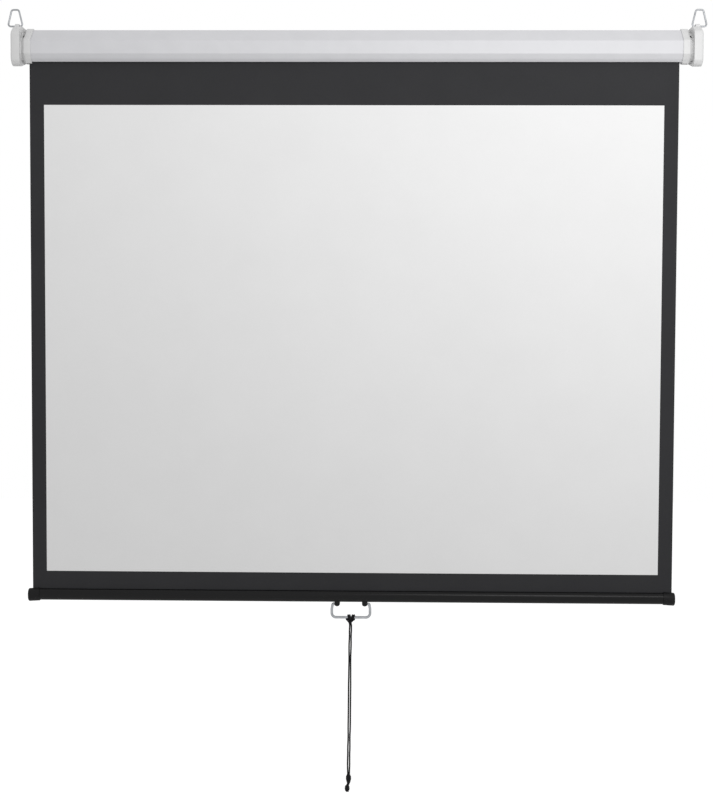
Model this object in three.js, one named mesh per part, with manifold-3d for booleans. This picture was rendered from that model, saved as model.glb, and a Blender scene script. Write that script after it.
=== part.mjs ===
import * as THREE from 'three';
import { mergeVertices } from 'three/addons/utils/BufferGeometryUtils.js';
import Module from 'manifold-3d';

// Manual pull-down projector screen with a spring roller, at its real size in millimetres.
// +Z is up, X runs along the width and the front faces -Y.
// The origin lies on the case's flat back, halfway along its length and height.

const wasm = await Module();
wasm.setup();

// Driving dimensions of the whole screen
const VIEW = { width: 1219, height: 925 }; // white viewing area
const BORDER = { side: 28.2, drop: 82, foot: 35.5 }; // black masking round it
const CLEAR = 0.3; // running and seating clearance between pieces
const OVERRUN = 2; // how far a cutter passes the face that it cuts
const ROUND_FACETS = 24; // facets of a turned piece
const WIRE_SIDES = 8; // facets of a bent wire
const SPRING_STEPS = 8; // steps of the spring's helix to the turn

// The fabric: it hangs a little left of the case's middle
const SHEET = { thick: 0.45, offset: -5, wound: 0.7 }; // wound: the turns that stay on the tube

// The spring motor and the ratchet at the right-hand end of the tube
const MOTOR = {
  spindle: 4, // radius of the fixed spindle
  spindlePast: 8, // how far its inner end passes through the anchor
  spadeWidth: 7.6,
  spadeThick: 3,
  plugLength: 26,
  plugFlange: 3,
  reach: 194, // from the plug's inner end back to the spring anchor
  anchorLength: 16,
  hubLength: 12,
  springWire: 1.8,
  springMean: 9.8,
  springTurns: 50,
  springRoom: 8, // between the spring's fixed hub and the ratchet plug
};
const RATCHET = { teeth: 4, rim: 2.7, rise: 3, proud: 0.8, standoff: 0.6, rampPoints: 6, rampShare: 0.985 };
const PAWL = {
  setback: 3.8, // from the tooth tips out to the pivots
  reach: 10,
  nose: 1.25, // radius of its tip
  lift: 0.95, // tip clear of the teeth when lifted
  dip: 0.75, // tip clear of the root when engaged
  eye: 3.2,
  rootShare: 0.8, // half width of the arm where it leaves the eye
  thick: 3,
  pin: 1.5,
  pinHead: 2.5,
  headThick: 1.2,
  angles: [120, 300],
};
const IDLE = { pin: 3, plugLength: 24, plugFlange: 3, pinReach: 9, pinGrip: 17 };
const ROLLER = { plugWall: 2.5, wall: 0.9, axisZ: 0, pastLeft: 2.3, pastRight: 5.3 };

// The case: one length of roll-formed sheet steel, open along the slot that the sheet leaves by
const CASE = {
  past: 12, // how far its ends pass half the sheet's width
  wall: 0.8,
  backRoom: 6.3, // between the wound turns and the case's back
  headRoom: 13, // between the turns and its top
  frontSetback: 14.2, // from the slot's front lip to the upright front
  topChamfer: 26, // the upper front corner is cut at 45 degrees
  lowRise: 15, // the upright front ends this far above the bottom
  lowRun: 7, // the lower front corner is cut in two facets
  lowDrop: 8.5,
  backRise: 17, // the underside climbs to the flat back
  slotWidth: 6,
  lip: 5, // return flange on both sides of the slot
  bend: 1.6, // outer bend radius
};

// The end caps: a crowned rim outside the case and a collar that slips over its end
const CAP = {
  collarLength: 13.5, // what laps the case
  collarWall: 2,
  collarLap: 2, // the collar runs this far past the case's end
  grooveWidth: 3, // between the collar and the rim
  grooveGrow: 0.5, // how far its floor stands out past the case's section
  draft: 0.4, // taper of the groove's sides
  rimWidth: 18.4,
  growTop: 3.5, // how far the rim stands out past the case's section
  growChamfer: 6,
  growFront: 12,
  growLow: 9,
  growBottom: 8.5,
  growRear: 6,
  crown: 4.4, // depth of the crowned outer face
  crownInset: 8,
  crownShare: 0.92, // how much of a quarter turn the crown makes
  outerWall: 3,
  shoulder: 1.5, // ledge that the case's end sits on
  corner: 5,
  collarCorner: 3.4,
  slotRoom: 1, // the collar's slot is wider than the case's by this on both sides
  slotStop: 2, // and ends this far from the case's end
};
const BOSS = { radius: 9, length: 15.4, rib: 2, ribDepth: 9.4 }; // carries the roller inside each cap
const NOTCH = { width: 8, height: 13, depth: 7, drop: 12 }; // moulding relief beside the collar
const KEYHOLE = { inset: 13.7, rise: 8, head: 4, slot: 2.2, travel: 8 }; // in a cap's back, for a screw
const LUG = { inset: 5.4, width: 8, setback: 2, rise: 6.5, radius: 4.6, hole: 2.3, foot: 16, sink: 4 };
const SCREW = { shank: 1.45, hole: 1.8, head: 3.4, crownShare: 0.7, headHeight: 2, length: 10 };

// The hanging rings: closed wire loops that swing in the lugs
const RING = { wire: 3.5, shift: 4, baseWidth: 29.5, topWidth: 14, height: 32.4, corner: 4.5 };

// The weight bar at the sheet's lower edge, its end sleeves and the hem that hangs in it
const HEM = { rod: 2.1, rodShort: 1.5, fit: 0.4, fold: 0.7 };
const BAR = {
  depth: 16,
  height: 23,
  wall: 1.4,
  hemRoom: 0.5, // round the hem in its channel
  mouthRoom: 1.35, // beside the sheet in the channel's mouth
  past: 2.3, // how far the bar passes the sheet at each end
};
const SLEEVE = { length: 23, wall: 1.2, past: 6, crown: 3, crownInset: 3.4 };

// The handle under the bar
const EAR = { x: 27.5, width: 11, depth: 11, corner: 5, rise: 4, roof: 0.6, floor: 1 };
const BAIL = {
  wire: 5.4,
  endInset: 1, // its ends stop this far inside the ears
  waistOut: 1.6, // the legs spread by this below the ears
  waistDrop: 10,
  drop: 27,
  topBend: 3,
  bend: 14,
  corner: 11.5,
};

// The doubled cord that hangs from the handle
const CORD = { width: 5.6, hitchLeft: 7.6, hitchRight: 8.6, hitchWall: 2.4, throat: 15.5 };
const KNOT = { width: 10, height: 18.5, shift: 0 };
const TIP = { width: 9, height: 18, shift: -2.6 }; // hangs a little left of the knot

// Sizes worked out from the values above, from the spindle outwards
const ratchetRoot = MOTOR.spindle + CLEAR + RATCHET.rim;
const ratchetTip = ratchetRoot + RATCHET.rise;
const pawlCircle = ratchetTip + PAWL.setback;
const rollerRadius = pawlCircle + PAWL.pin + ROLLER.plugWall + CLEAR + ROLLER.wall;
const tubeBore = rollerRadius - ROLLER.wall;
const plugRadius = tubeBore - CLEAR;
const wrapsBore = rollerRadius + CLEAR;
const wrapsRadius = wrapsBore + SHEET.wound;
const axisY = -CASE.backRoom - wrapsRadius;
const sheetBack = axisY - wrapsRadius - CLEAR;
const sheetY = sheetBack - SHEET.thick / 2;
const slotFront = -sheetY + CASE.slotWidth / 2;
const slotRear = slotFront - CASE.slotWidth;
const caseDepth = slotFront + CASE.frontSetback;
const halfHeight = wrapsRadius + CASE.headRoom;
const chamferReach = caseDepth + halfHeight - CASE.topChamfer; // z minus y anywhere on the chamfer

// Places along the width
const halfSheet = VIEW.width / 2 + BORDER.side;
const halfCase = halfSheet + CASE.past;
const sheetLeft = SHEET.offset - halfSheet;
const sheetRight = SHEET.offset + halfSheet;
const tubeLeft = sheetLeft - ROLLER.pastLeft;
const tubeRight = sheetRight + ROLLER.pastRight;
const capSeat = halfCase + CLEAR;
const collarEnd = capSeat - CAP.collarLength;
const grooveStart = capSeat + CAP.collarLap;
const rimInner = grooveStart + CAP.grooveWidth;
const rimOuter = rimInner + CAP.rimWidth;
const wallInside = rimOuter - CAP.outerWall;
const bossInner = wallInside - BOSS.length;
const lugX = rimOuter - LUG.inset;
const screwX = collarEnd + CAP.collarLength / 2;

// Heights, from the case down to the handle's grip
const lugY = -caseDepth + CASE.topChamfer - LUG.setback;
const lugZ = halfHeight + LUG.rise;
const viewTop = -halfHeight - BORDER.drop;
const viewFoot = viewTop - VIEW.height;
const barTop = viewFoot - BORDER.foot;
const barMiddle = barTop - BAR.height / 2;
const barFoot = barTop - BAR.height;
const hemBore = HEM.rod + HEM.fit;
const hemLoop = hemBore + HEM.fold;
const channelRadius = hemLoop + BAR.hemRoom;
const channelZ = barTop - BAR.wall - channelRadius;
const mouthWidth = SHEET.thick + BAR.mouthRoom;
const earBore = BAIL.wire / 2 + CLEAR;
const pivotZ = barFoot - CLEAR - EAR.roof - earBore;
const gripZ = pivotZ - BAIL.drop;

// A triangle list with merged corners, no flat slivers and its faces pointing out
function tidy(geometry) {
  const bare = geometry.clone();
  bare.deleteAttribute('normal');
  bare.deleteAttribute('uv');
  const merged = mergeVertices(bare, 1e-5);
  const at = merged.attributes.position;
  const index = merged.index.array;
  const kept = [];
  const [a, b, c] = [new THREE.Vector3(), new THREE.Vector3(), new THREE.Vector3()];
  let volume = 0;
  for (let i = 0; i < index.length; i += 3) {
    const [p, q, r] = [index[i], index[i + 1], index[i + 2]];
    if (p === q || q === r || r === p) continue;
    kept.push(p, q, r);
    volume += a.fromBufferAttribute(at, p).dot(
      b.fromBufferAttribute(at, q).cross(c.fromBufferAttribute(at, r)));
  }
  if (volume < 0) {
    for (let i = 0; i < kept.length; i += 3) [kept[i], kept[i + 1]] = [kept[i + 1], kept[i]];
  }
  const out = new THREE.BufferGeometry();
  out.setAttribute('position', merged.attributes.position.clone());
  out.setIndex(kept);
  return out;
}

// Boolean joins and cuts
function toSolid(geometry) {
  const clean = tidy(geometry);
  return new wasm.Manifold(new wasm.Mesh({
    numProp: 3,
    vertProperties: new Float32Array(clean.attributes.position.array),
    triVerts: new Uint32Array(clean.index.array),
  }));
}

function toGeometry(solid) {
  const mesh = solid.getMesh();
  const out = new THREE.BufferGeometry();
  out.setAttribute('position', new THREE.BufferAttribute(new Float32Array(mesh.vertProperties), 3));
  out.setIndex(new THREE.BufferAttribute(new Uint32Array(mesh.triVerts), 1));
  return out;
}

function carve(base, { add = [], cut = [], keep = [] }) {
  let solid = toSolid(base);
  for (const piece of add) solid = solid.add(toSolid(piece));
  for (const piece of keep) solid = solid.intersect(toSolid(piece));
  for (const piece of cut) solid = solid.subtract(toSolid(piece));
  return toGeometry(solid);
}

// Outlines in the (y, z) plane, listed anticlockwise as Vector2 points
const point = (y, z) => new THREE.Vector2(y, z);

// Each edge moves out by its own distance and the corners are found again
function offsetOutline(points, distances) {
  const count = points.length;
  const edges = points.map((start, i) => {
    const along = points[(i + 1) % count].clone().sub(start).normalize();
    const out = point(along.y, -along.x);
    return { start: start.clone().addScaledVector(out, distances[i % distances.length]), along };
  });
  return edges.map((edge, i) => {
    const before = edges[(i + count - 1) % count];
    const gap = edge.start.clone().sub(before.start);
    const t = gap.cross(edge.along) / before.along.cross(edge.along);
    return before.start.clone().addScaledVector(before.along, t);
  });
}

// The corners of an outline become arcs; an open path keeps its two ends
const bendRoomShare = 0.49; // the most of an edge that one corner's arc may take
function roundCorners(points, radius, segments, open = false) {
  const count = points.length;
  const radii = Array.isArray(radius) ? radius : points.map(() => radius);
  const out = [];
  points.forEach((corner, i) => {
    if (open && (i === 0 || i === count - 1)) {
      out.push(corner.clone());
      return;
    }
    const back = points[(i + count - 1) % count].clone().sub(corner);
    const ahead = points[(i + 1) % count].clone().sub(corner);
    const room = Math.min(back.length(), ahead.length()) * bendRoomShare;
    back.normalize();
    ahead.normalize();
    const half = Math.acos(THREE.MathUtils.clamp(back.dot(ahead), -1, 1)) / 2;
    const trim = Math.min(radii[i] / Math.tan(half), room);
    const arc = trim * Math.tan(half);
    const centre = back.clone().add(ahead).normalize().multiplyScalar(arc / Math.sin(half));
    const from = back.clone().multiplyScalar(trim).sub(centre);
    const to = ahead.clone().multiplyScalar(trim).sub(centre);
    const turn = Math.atan2(from.cross(to), from.dot(to));
    for (let k = 0; k <= segments; k += 1) {
      const spoke = from.clone().rotateAround(point(0, 0), (turn * k) / segments);
      out.push(corner.clone().add(centre).add(spoke));
    }
  });
  return out;
}

function circleOutline(y, z, radius, facets = ROUND_FACETS) {
  return Array.from({ length: facets }, (_, i) => {
    const a = (i / facets) * Math.PI * 2;
    return point(y + radius * Math.cos(a), z + radius * Math.sin(a));
  });
}

function boxOutline(y, z, depth, height) {
  const [dy, dz] = [depth / 2, height / 2];
  return [point(y + dy, z - dz), point(y + dy, z + dz), point(y - dy, z + dz), point(y - dy, z - dz)];
}

// Solids that run along X
function extrudeX(outline, x0, x1, holes = []) {
  const shape = new THREE.Shape(outline);
  shape.holes = holes.map((hole) => new THREE.Path(hole));
  const geometry = new THREE.ExtrudeGeometry(shape, { depth: x1 - x0, bevelEnabled: false, steps: 1 });
  const turn = new THREE.Matrix4().set(0, 0, 1, x0, 1, 0, 0, 0, 0, 1, 0, 0, 0, 0, 0, 1);
  return geometry.applyMatrix4(turn);
}

// Rings of equal point counts, joined along X and closed at both ends
function loftX(rings) {
  const count = rings[0].outline.length;
  const corners = rings.flatMap(({ x, outline }) => outline.flatMap((p) => [x, p.x, p.y]));
  const faces = [];
  for (let r = 0; r + 1 < rings.length; r += 1) {
    for (let i = 0; i < count; i += 1) {
      const [a, b] = [r * count + i, r * count + ((i + 1) % count)];
      faces.push(a, b, b + count, a, b + count, a + count);
    }
  }
  const lid = THREE.ShapeUtils.triangulateShape(rings[0].outline, []);
  const last = (rings.length - 1) * count;
  for (const [a, b, c] of lid) faces.push(a, c, b);
  for (const [a, b, c] of THREE.ShapeUtils.triangulateShape(rings[rings.length - 1].outline, [])) {
    faces.push(last + a, last + b, last + c);
  }
  const out = new THREE.BufferGeometry();
  out.setAttribute('position', new THREE.Float32BufferAttribute(corners, 3));
  out.setIndex(faces);
  return out;
}

// A turned piece on an axis parallel to X; profile points are [x, radius]
function turnX(profile, y, z, facets = ROUND_FACETS) {
  const closed = [...profile, profile[0]].map(([x, radius]) => new THREE.Vector2(radius, x));
  const geometry = new THREE.LatheGeometry(closed, facets);
  const turn = new THREE.Matrix4().set(0, 1, 0, 0, 0, 0, 1, y, 1, 0, 0, z, 0, 0, 0, 1);
  return geometry.applyMatrix4(turn);
}

const rodX = (radius, x0, x1, y, z, facets) =>
  turnX([[x0, 0], [x0, radius], [x1, radius], [x1, 0]], y, z, facets);

const pipeX = (radius, bore, x0, x1, y, z, facets) =>
  turnX([[x0, bore], [x0, radius], [x1, radius], [x1, bore]], y, z, facets);

const onRoller = (radius, x0, x1) => rodX(radius, x0, x1, axisY, ROLLER.axisZ);

// A turned piece on an upright axis; profile points are [radius, z]
function turnZ(profile, x, y, facets = ROUND_FACETS) {
  const points = profile.map(([radius, z]) => new THREE.Vector2(radius, z));
  return new THREE.LatheGeometry(points, facets).rotateX(Math.PI / 2).translate(x, y, 0);
}

// The other hand of a piece
function mirrorX(geometry) {
  const out = geometry.clone().scale(-1, 1, 1);
  return tidy(out);
}

// Round wire through points in a plane square to Y, closed into a loop or with flat ends
function wire(points, radius, closed = false) {
  const count = points.length;
  const corners = points.flatMap((centre, i) => {
    const last = closed ? (i + count - 1) % count : Math.max(i - 1, 0);
    const next = closed ? (i + 1) % count : Math.min(i + 1, count - 1);
    const back = i === last ? points[next].clone().sub(centre) : centre.clone().sub(points[last]);
    const ahead = i === next ? back.clone() : points[next].clone().sub(centre);
    back.normalize();
    ahead.normalize();
    const along = back.clone().add(ahead).normalize();
    const mitre = radius / along.dot(back);
    return Array.from({ length: WIRE_SIDES }, (_, k) => {
      const a = ((k + 0.5) / WIRE_SIDES) * Math.PI * 2;
      const out = mitre * Math.cos(a);
      return [centre.x + along.z * out, centre.y + radius * Math.sin(a), centre.z - along.x * out];
    });
  });
  return tube(corners.flat(), WIRE_SIDES, count, closed);
}

// Faces of a tube whose cross-sections follow one another in the list of corners
function tube(corners, sides, sections, closed = false) {
  const faces = [];
  const joined = closed ? sections : sections - 1;
  for (let s = 0; s < joined; s += 1) {
    for (let k = 0; k < sides; k += 1) {
      const [a, b] = [s * sides + k, s * sides + ((k + 1) % sides)];
      const next = ((s + 1) % sections) * sides;
      const [c, d] = [next + k, next + ((k + 1) % sides)];
      faces.push(a, b, d, a, d, c);
    }
  }
  if (!closed) {
    const last = (sections - 1) * sides;
    for (let k = 1; k + 1 < sides; k += 1) {
      faces.push(0, k + 1, k);
      faces.push(last, last + k, last + k + 1);
    }
  }
  const out = new THREE.BufferGeometry();
  out.setAttribute('position', new THREE.Float32BufferAttribute(corners, 3));
  out.setIndex(faces);
  return out;
}

// Finishes
const finish = (color, roughness, metalness = 0) =>
  new THREE.MeshStandardMaterial({ color, roughness, metalness });
const FINISH = {
  whiteSteel: finish(0xe6e6e8, 0.42),
  whiteMoulding: finish(0xe4e4e4, 0.5),
  zincWire: finish(0xb4b6b8, 0.35, 1),
  whiteSheet: finish(0xf0f0f0, 0.9),
  blackSheet: finish(0x2c2c2e, 0.85),
  blackBar: finish(0x1a1a1b, 0.38),
  blackMoulding: finish(0x161617, 0.5),
  tubeSteel: finish(0xa9acae, 0.45, 1),
  springSteel: finish(0x6f7376, 0.4, 1),
  plug: finish(0xd8d5c8, 0.6),
  cord: finish(0x1c1c1d, 0.9),
};

const screen = new THREE.Group();
function piece(name, geometry, material) {
  const mesh = new THREE.Mesh(tidy(geometry), material);
  mesh.name = name;
  screen.add(mesh);
  return mesh;
}

// The case's outer section, from the foot of its flat back round to the slot's rear lip
function caseSection() {
  const [d, h] = [caseDepth, halfHeight];
  const frontFoot = CASE.lowRise - h;
  return [
    point(0, CASE.backRise - h),
    point(0, h),
    point(-d + CASE.topChamfer, h),
    point(-d, h - CASE.topChamfer),
    point(-d, frontFoot),
    point(-d + CASE.lowRun, frontFoot - CASE.lowDrop),
    point(-slotFront, -h),
    point(-slotRear, -h),
  ];
}

// Sheet metal bent along a path, with its thickness on the left of it
function stripOutline(path, wall, bend, segments) {
  const inner = path.map((corner, i) => {
    const before = path[Math.max(i - 1, 0)];
    const after = path[Math.min(i + 1, path.length - 1)];
    const a = (i === 0 ? after.clone().sub(corner) : corner.clone().sub(before)).normalize();
    const b = (i === path.length - 1 ? a.clone() : after.clone().sub(corner)).normalize();
    const side = point(-a.y - b.y, a.x + b.x).normalize();
    return corner.clone().addScaledVector(side, wall / side.dot(point(-a.y, a.x)));
  });
  const outside = roundCorners(path, bend, segments, true);
  const inside = roundCorners(inner, bend - wall, segments, true);
  return [...outside, ...inside.reverse()];
}

// Cutter for a cap screw's hole, through the case's top and the collar over it
const screwY = (CASE.topChamfer - caseDepth) / 2;
function screwBore(side) {
  const top = halfHeight + CLEAR + CAP.collarWall + OVERRUN;
  return turnZ([
    [0, halfHeight - OVERRUN],
    [SCREW.hole, halfHeight - OVERRUN],
    [SCREW.hole, top],
    [0, top],
  ], side * screwX, screwY);
}

function caseShell() {
  const path = [
    point(-slotRear, -halfHeight + CASE.lip),
    point(-slotRear, -halfHeight),
    ...caseSection().slice(0, -1),
    point(-slotFront, -halfHeight + CASE.lip),
  ];
  const bendFacets = 3;
  const outline = stripOutline(path, CASE.wall, CASE.bend, bendFacets);
  const shell = extrudeX(outline, -halfCase, halfCase);
  return carve(shell, { cut: [screwBore(-1), screwBore(1)] });
}

// End caps, modelled for the right-hand end
function capOutline(grow, corner) {
  const cornerFacets = 3;
  return roundCorners(offsetOutline(caseSection(), grow), corner, cornerFacets);
}

function endCapBody() {
  const collarGrow = CAP.collarWall + CLEAR;
  const around = (grow) => caseSection().map((_, i) => (i === 0 ? 0 : grow));
  const { growTop, growChamfer, growFront, growLow, growBottom, growRear } = CAP;
  const rim = capOutline(
    [0, growTop, growChamfer, growFront, growLow, growBottom, growBottom, growRear], CAP.corner);
  const collar = capOutline(around(collarGrow), CAP.collarCorner);
  const groove = capOutline(around(CAP.grooveGrow), CAP.collarCorner);
  const crownRings = 3;
  const rings = [
    { x: collarEnd, outline: collar },
    { x: grooveStart, outline: collar },
    { x: grooveStart + CAP.draft, outline: groove },
    { x: rimInner - CAP.draft, outline: groove },
    { x: rimInner, outline: rim },
  ];
  for (let k = 0; k <= crownRings; k += 1) {
    const a = (k / crownRings) * (Math.PI / 2) * CAP.crownShare;
    const drawnIn = 1 - (CAP.crownInset * (1 - Math.cos(a))) / (caseDepth + growFront);
    rings.push({
      x: rimOuter - CAP.crown * (1 - Math.sin(a)),
      outline: rim.map((p) => p.clone().multiplyScalar(drawnIn)),
    });
  }
  return loftX(rings);
}

// The lug stands on the rim where the top meets the chamfer
function lugOutline() {
  const [front, rear] = [lugY - LUG.foot / 2, lugY + LUG.foot / 2];
  const chamferZ = front + chamferReach + CAP.growChamfer * Math.SQRT2;
  const arcFacets = 10;
  const arc = Array.from({ length: arcFacets + 1 }, (_, i) => {
    const a = (i / arcFacets) * Math.PI;
    return point(lugY + LUG.radius * Math.cos(a), lugZ + LUG.radius * Math.sin(a));
  });
  return [point(front, chamferZ - LUG.sink), point(rear, halfHeight + CAP.growTop - LUG.sink), ...arc];
}

// Keyhole cutter: a wall screw's head enters below and its shank slides up
function keyhole() {
  const x = rimOuter - KEYHOLE.inset;
  const [back, front] = [OVERRUN, -CASE.wall - CAP.shoulder - OVERRUN];
  const along = (radius, z) => new THREE.CylinderGeometry(radius, radius, back - front, ROUND_FACETS)
    .translate(x, (back + front) / 2, z);
  const slot = new THREE.BoxGeometry(2 * KEYHOLE.slot, back - front, KEYHOLE.travel)
    .translate(x, (back + front) / 2, KEYHOLE.rise + KEYHOLE.travel / 2);
  const head = along(KEYHOLE.head, KEYHOLE.rise);
  return carve(head, { add: [slot, along(KEYHOLE.slot, KEYHOLE.rise + KEYHOLE.travel)] });
}

function endCap(spindleSocket) {
  const socket = extrudeX(offsetOutline(caseSection(), [CLEAR]), collarEnd - OVERRUN, capSeat);
  const hollowOutline = offsetOutline(caseSection(), [-CASE.wall - CAP.shoulder]);
  const hollow = extrudeX(hollowOutline, capSeat - OVERRUN, wallInside);
  const ribInner = wallInside - BOSS.ribDepth;
  const ribSpace = extrudeX(hollowOutline, ribInner, wallInside + CLEAR);
  const across = extrudeX(boxOutline(axisY, ROLLER.axisZ, 2 * caseDepth, BOSS.rib), ribInner, wallInside);
  const upright = extrudeX(boxOutline(axisY, ROLLER.axisZ, BOSS.rib, 4 * halfHeight), ribInner, wallInside);
  const ribs = carve(across, { add: [upright], keep: [ribSpace] });
  const boss = onRoller(BOSS.radius, bossInner, wallInside + CLEAR);
  const lug = extrudeX(lugOutline(), lugX - LUG.width / 2, lugX + LUG.width / 2);
  const lugHole = rodX(LUG.hole, lugX - LUG.width, lugX + LUG.width, lugY, lugZ);
  const slotWidth = CASE.slotWidth + 2 * CAP.slotRoom;
  const slot = extrudeX(
    boxOutline(sheetY, -halfHeight, slotWidth, 2 * CASE.lip), collarEnd - OVERRUN, capSeat - CAP.slotStop);
  const notchZ = halfHeight - NOTCH.drop;
  const notchY = notchZ - chamferReach - CAP.collarWall - NOTCH.depth / 2;
  const notch = extrudeX(
    boxOutline(notchY, notchZ, NOTCH.depth, NOTCH.height), capSeat, capSeat + NOTCH.width);
  const hollowed = carve(endCapBody(), { cut: [socket, hollow] });
  return carve(hollowed, {
    add: [ribs, boss, lug],
    cut: [lugHole, slot, notch, keyhole(), screwBore(1), spindleSocket],
  });
}

function spadeSocket() {
  const outline = boxOutline(
    axisY, ROLLER.axisZ, MOTOR.spadeThick + 2 * CLEAR, MOTOR.spadeWidth + 2 * CLEAR);
  return extrudeX(outline, bossInner - OVERRUN, wallInside);
}

function roundSocket() {
  return onRoller(IDLE.pin + CLEAR, bossInner - OVERRUN, wallInside);
}

// Pan-head screw that holds a cap's collar to the case from above
function capScrew(side) {
  const seatZ = halfHeight + CLEAR + CAP.collarWall;
  const dome = SCREW.head * SCREW.crownShare;
  return turnZ([
    [0, seatZ - SCREW.length],
    [SCREW.shank, seatZ - SCREW.length],
    [SCREW.shank, seatZ],
    [SCREW.head, seatZ],
    [SCREW.head, seatZ + SCREW.headHeight / 2],
    [dome, seatZ + SCREW.headHeight],
    [0, seatZ + SCREW.headHeight],
  ], side * screwX, screwY);
}

// Hanging ring: a rounded trapezium of wire whose base passes through the lug
function hangingRing(side) {
  const bendFacets = 4;
  const flat = roundCorners([
    point(-RING.baseWidth / 2, 0),
    point(RING.baseWidth / 2, 0),
    point(RING.topWidth / 2, RING.height),
    point(-RING.topWidth / 2, RING.height),
  ], RING.corner, bendFacets);
  const x = side * (lugX + RING.shift);
  return wire(flat.map((p) => new THREE.Vector3(x + side * p.x, lugY, lugZ + p.y)), RING.wire / 2, true);
}

// The spring motor
const plugInner = tubeRight - MOTOR.plugLength;
const plugFace = tubeRight + MOTOR.plugFlange;
const ratchetX = plugFace + RATCHET.standoff;
const spadeTip = wallInside - CLEAR;
const anchorX = plugInner - MOTOR.reach;
const anchorFace = anchorX + MOTOR.anchorLength;
const springHub = MOTOR.springMean * Math.cos(Math.PI / SPRING_STEPS) - MOTOR.springWire / 2 - CLEAR;
const springStart = anchorFace + MOTOR.springWire / 2 + CLEAR;
const hubEnd = plugInner - MOTOR.springRoom;
const springEnd = hubEnd - MOTOR.springWire;
const spindleShoulder = bossInner - CLEAR;

function spindle() {
  const shaft = turnX([
    [anchorX - MOTOR.spindlePast, 0],
    [anchorX - MOTOR.spindlePast, MOTOR.spindle],
    [hubEnd - MOTOR.hubLength, MOTOR.spindle],
    [hubEnd - MOTOR.hubLength, springHub],
    [hubEnd, springHub],
    [hubEnd, MOTOR.spindle],
    [spindleShoulder, MOTOR.spindle],
    [spindleShoulder, 0],
  ], axisY, ROLLER.axisZ);
  const spade = extrudeX(
    boxOutline(axisY, ROLLER.axisZ, MOTOR.spadeThick, MOTOR.spadeWidth),
    spindleShoulder - MOTOR.spadeThick, spadeTip);
  return carve(shaft, { add: [spade] });
}

// Angle, in degrees, between the sides a and b of a triangle whose third side is c
const cornerDeg = (a, b, c) => THREE.MathUtils.radToDeg(Math.acos((a * a + b * b - c * c) / (2 * a * b)));

// The pawls' angles: at the pivot with the tip lifted, and at the axis with the tip engaged
const liftedCircle = ratchetTip + PAWL.nose + PAWL.lift;
const engagedCircle = ratchetRoot + PAWL.nose + PAWL.dip;
const restDeg = cornerDeg(pawlCircle, PAWL.reach, liftedCircle);
const leadDeg = cornerDeg(pawlCircle, engagedCircle, PAWL.reach);
const faceDeg = THREE.MathUtils.radToDeg(Math.asin((PAWL.nose + CLEAR) / engagedCircle));

// Saw-toothed wheel on the fixed spindle: each tooth climbs to its tip and drops to the root
function ratchetWheel() {
  const outline = [];
  const first = PAWL.angles[0] - leadDeg - faceDeg;
  for (let t = 0; t < RATCHET.teeth; t += 1) {
    for (let k = 0; k < RATCHET.rampPoints; k += 1) {
      const share = k / (RATCHET.rampPoints - 1);
      const slant = share * RATCHET.rampShare;
      const a = THREE.MathUtils.degToRad(first + ((t + slant) * 360) / RATCHET.teeth);
      const r = ratchetRoot + RATCHET.rise * share;
      outline.push(point(axisY + r * Math.cos(a), ROLLER.axisZ + r * Math.sin(a)));
    }
  }
  const bore = circleOutline(axisY, ROLLER.axisZ, MOTOR.spindle + CLEAR);
  return extrudeX(outline, ratchetX, ratchetX + PAWL.thick + RATCHET.proud, [bore]);
}

const pawlPivot = (deg) => {
  const a = THREE.MathUtils.degToRad(deg);
  return point(axisY + pawlCircle * Math.cos(a), ROLLER.axisZ + pawlCircle * Math.sin(a));
};

// A pawl in its lifted pose: an arm from its eye to a rounded nose
function pawl(deg) {
  const pivot = pawlPivot(deg);
  const aim = THREE.MathUtils.degToRad(deg + 180 + restDeg);
  const along = point(Math.cos(aim), Math.sin(aim));
  const nose = pivot.clone().addScaledVector(along, PAWL.reach);
  const side = point(-along.y, along.x);
  const [x0, x1] = [ratchetX + CLEAR, ratchetX + CLEAR + PAWL.thick];
  const wide = PAWL.eye * PAWL.rootShare;
  const arm = extrudeX([
    pivot.clone().addScaledVector(side, -wide),
    nose.clone().addScaledVector(side, -PAWL.nose),
    nose.clone().addScaledVector(side, PAWL.nose),
    pivot.clone().addScaledVector(side, wide),
  ], x0, x1);
  const noseFacets = 12;
  const tip = rodX(PAWL.nose, x0, x1, nose.x, nose.y, noseFacets);
  const eye = rodX(PAWL.eye, x0, x1, pivot.x, pivot.y);
  const bore = rodX(PAWL.pin + CLEAR, x0 - OVERRUN, x1 + OVERRUN, pivot.x, pivot.y);
  return carve(eye, { add: [arm, tip], cut: [bore] });
}

const pinInner = plugFace - 2 * MOTOR.plugFlange;
function pawlPin(deg) {
  const { x: y, y: z } = pawlPivot(deg);
  const headX = ratchetX + CLEAR + PAWL.thick + CLEAR;
  return turnX([
    [pinInner, 0],
    [pinInner, PAWL.pin],
    [headX, PAWL.pin],
    [headX, PAWL.pinHead],
    [headX + PAWL.headThick, PAWL.pinHead],
    [headX + PAWL.headThick, 0],
  ], y, z);
}

// Plug that turns with the tube on the fixed spindle and carries the pawls
function ratchetPlug() {
  const shell = turnX([
    [plugInner, MOTOR.spindle + CLEAR],
    [plugInner, plugRadius],
    [tubeRight + CLEAR, plugRadius],
    [tubeRight + CLEAR, rollerRadius],
    [plugFace, rollerRadius],
    [plugFace, MOTOR.spindle + CLEAR],
  ], axisY, ROLLER.axisZ);
  const holes = PAWL.angles.map((deg) => {
    const { x: y, y: z } = pawlPivot(deg);
    return rodX(PAWL.pin + CLEAR, pinInner - CLEAR, plugFace + OVERRUN, y, z);
  });
  return carve(shell, { cut: holes });
}

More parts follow.
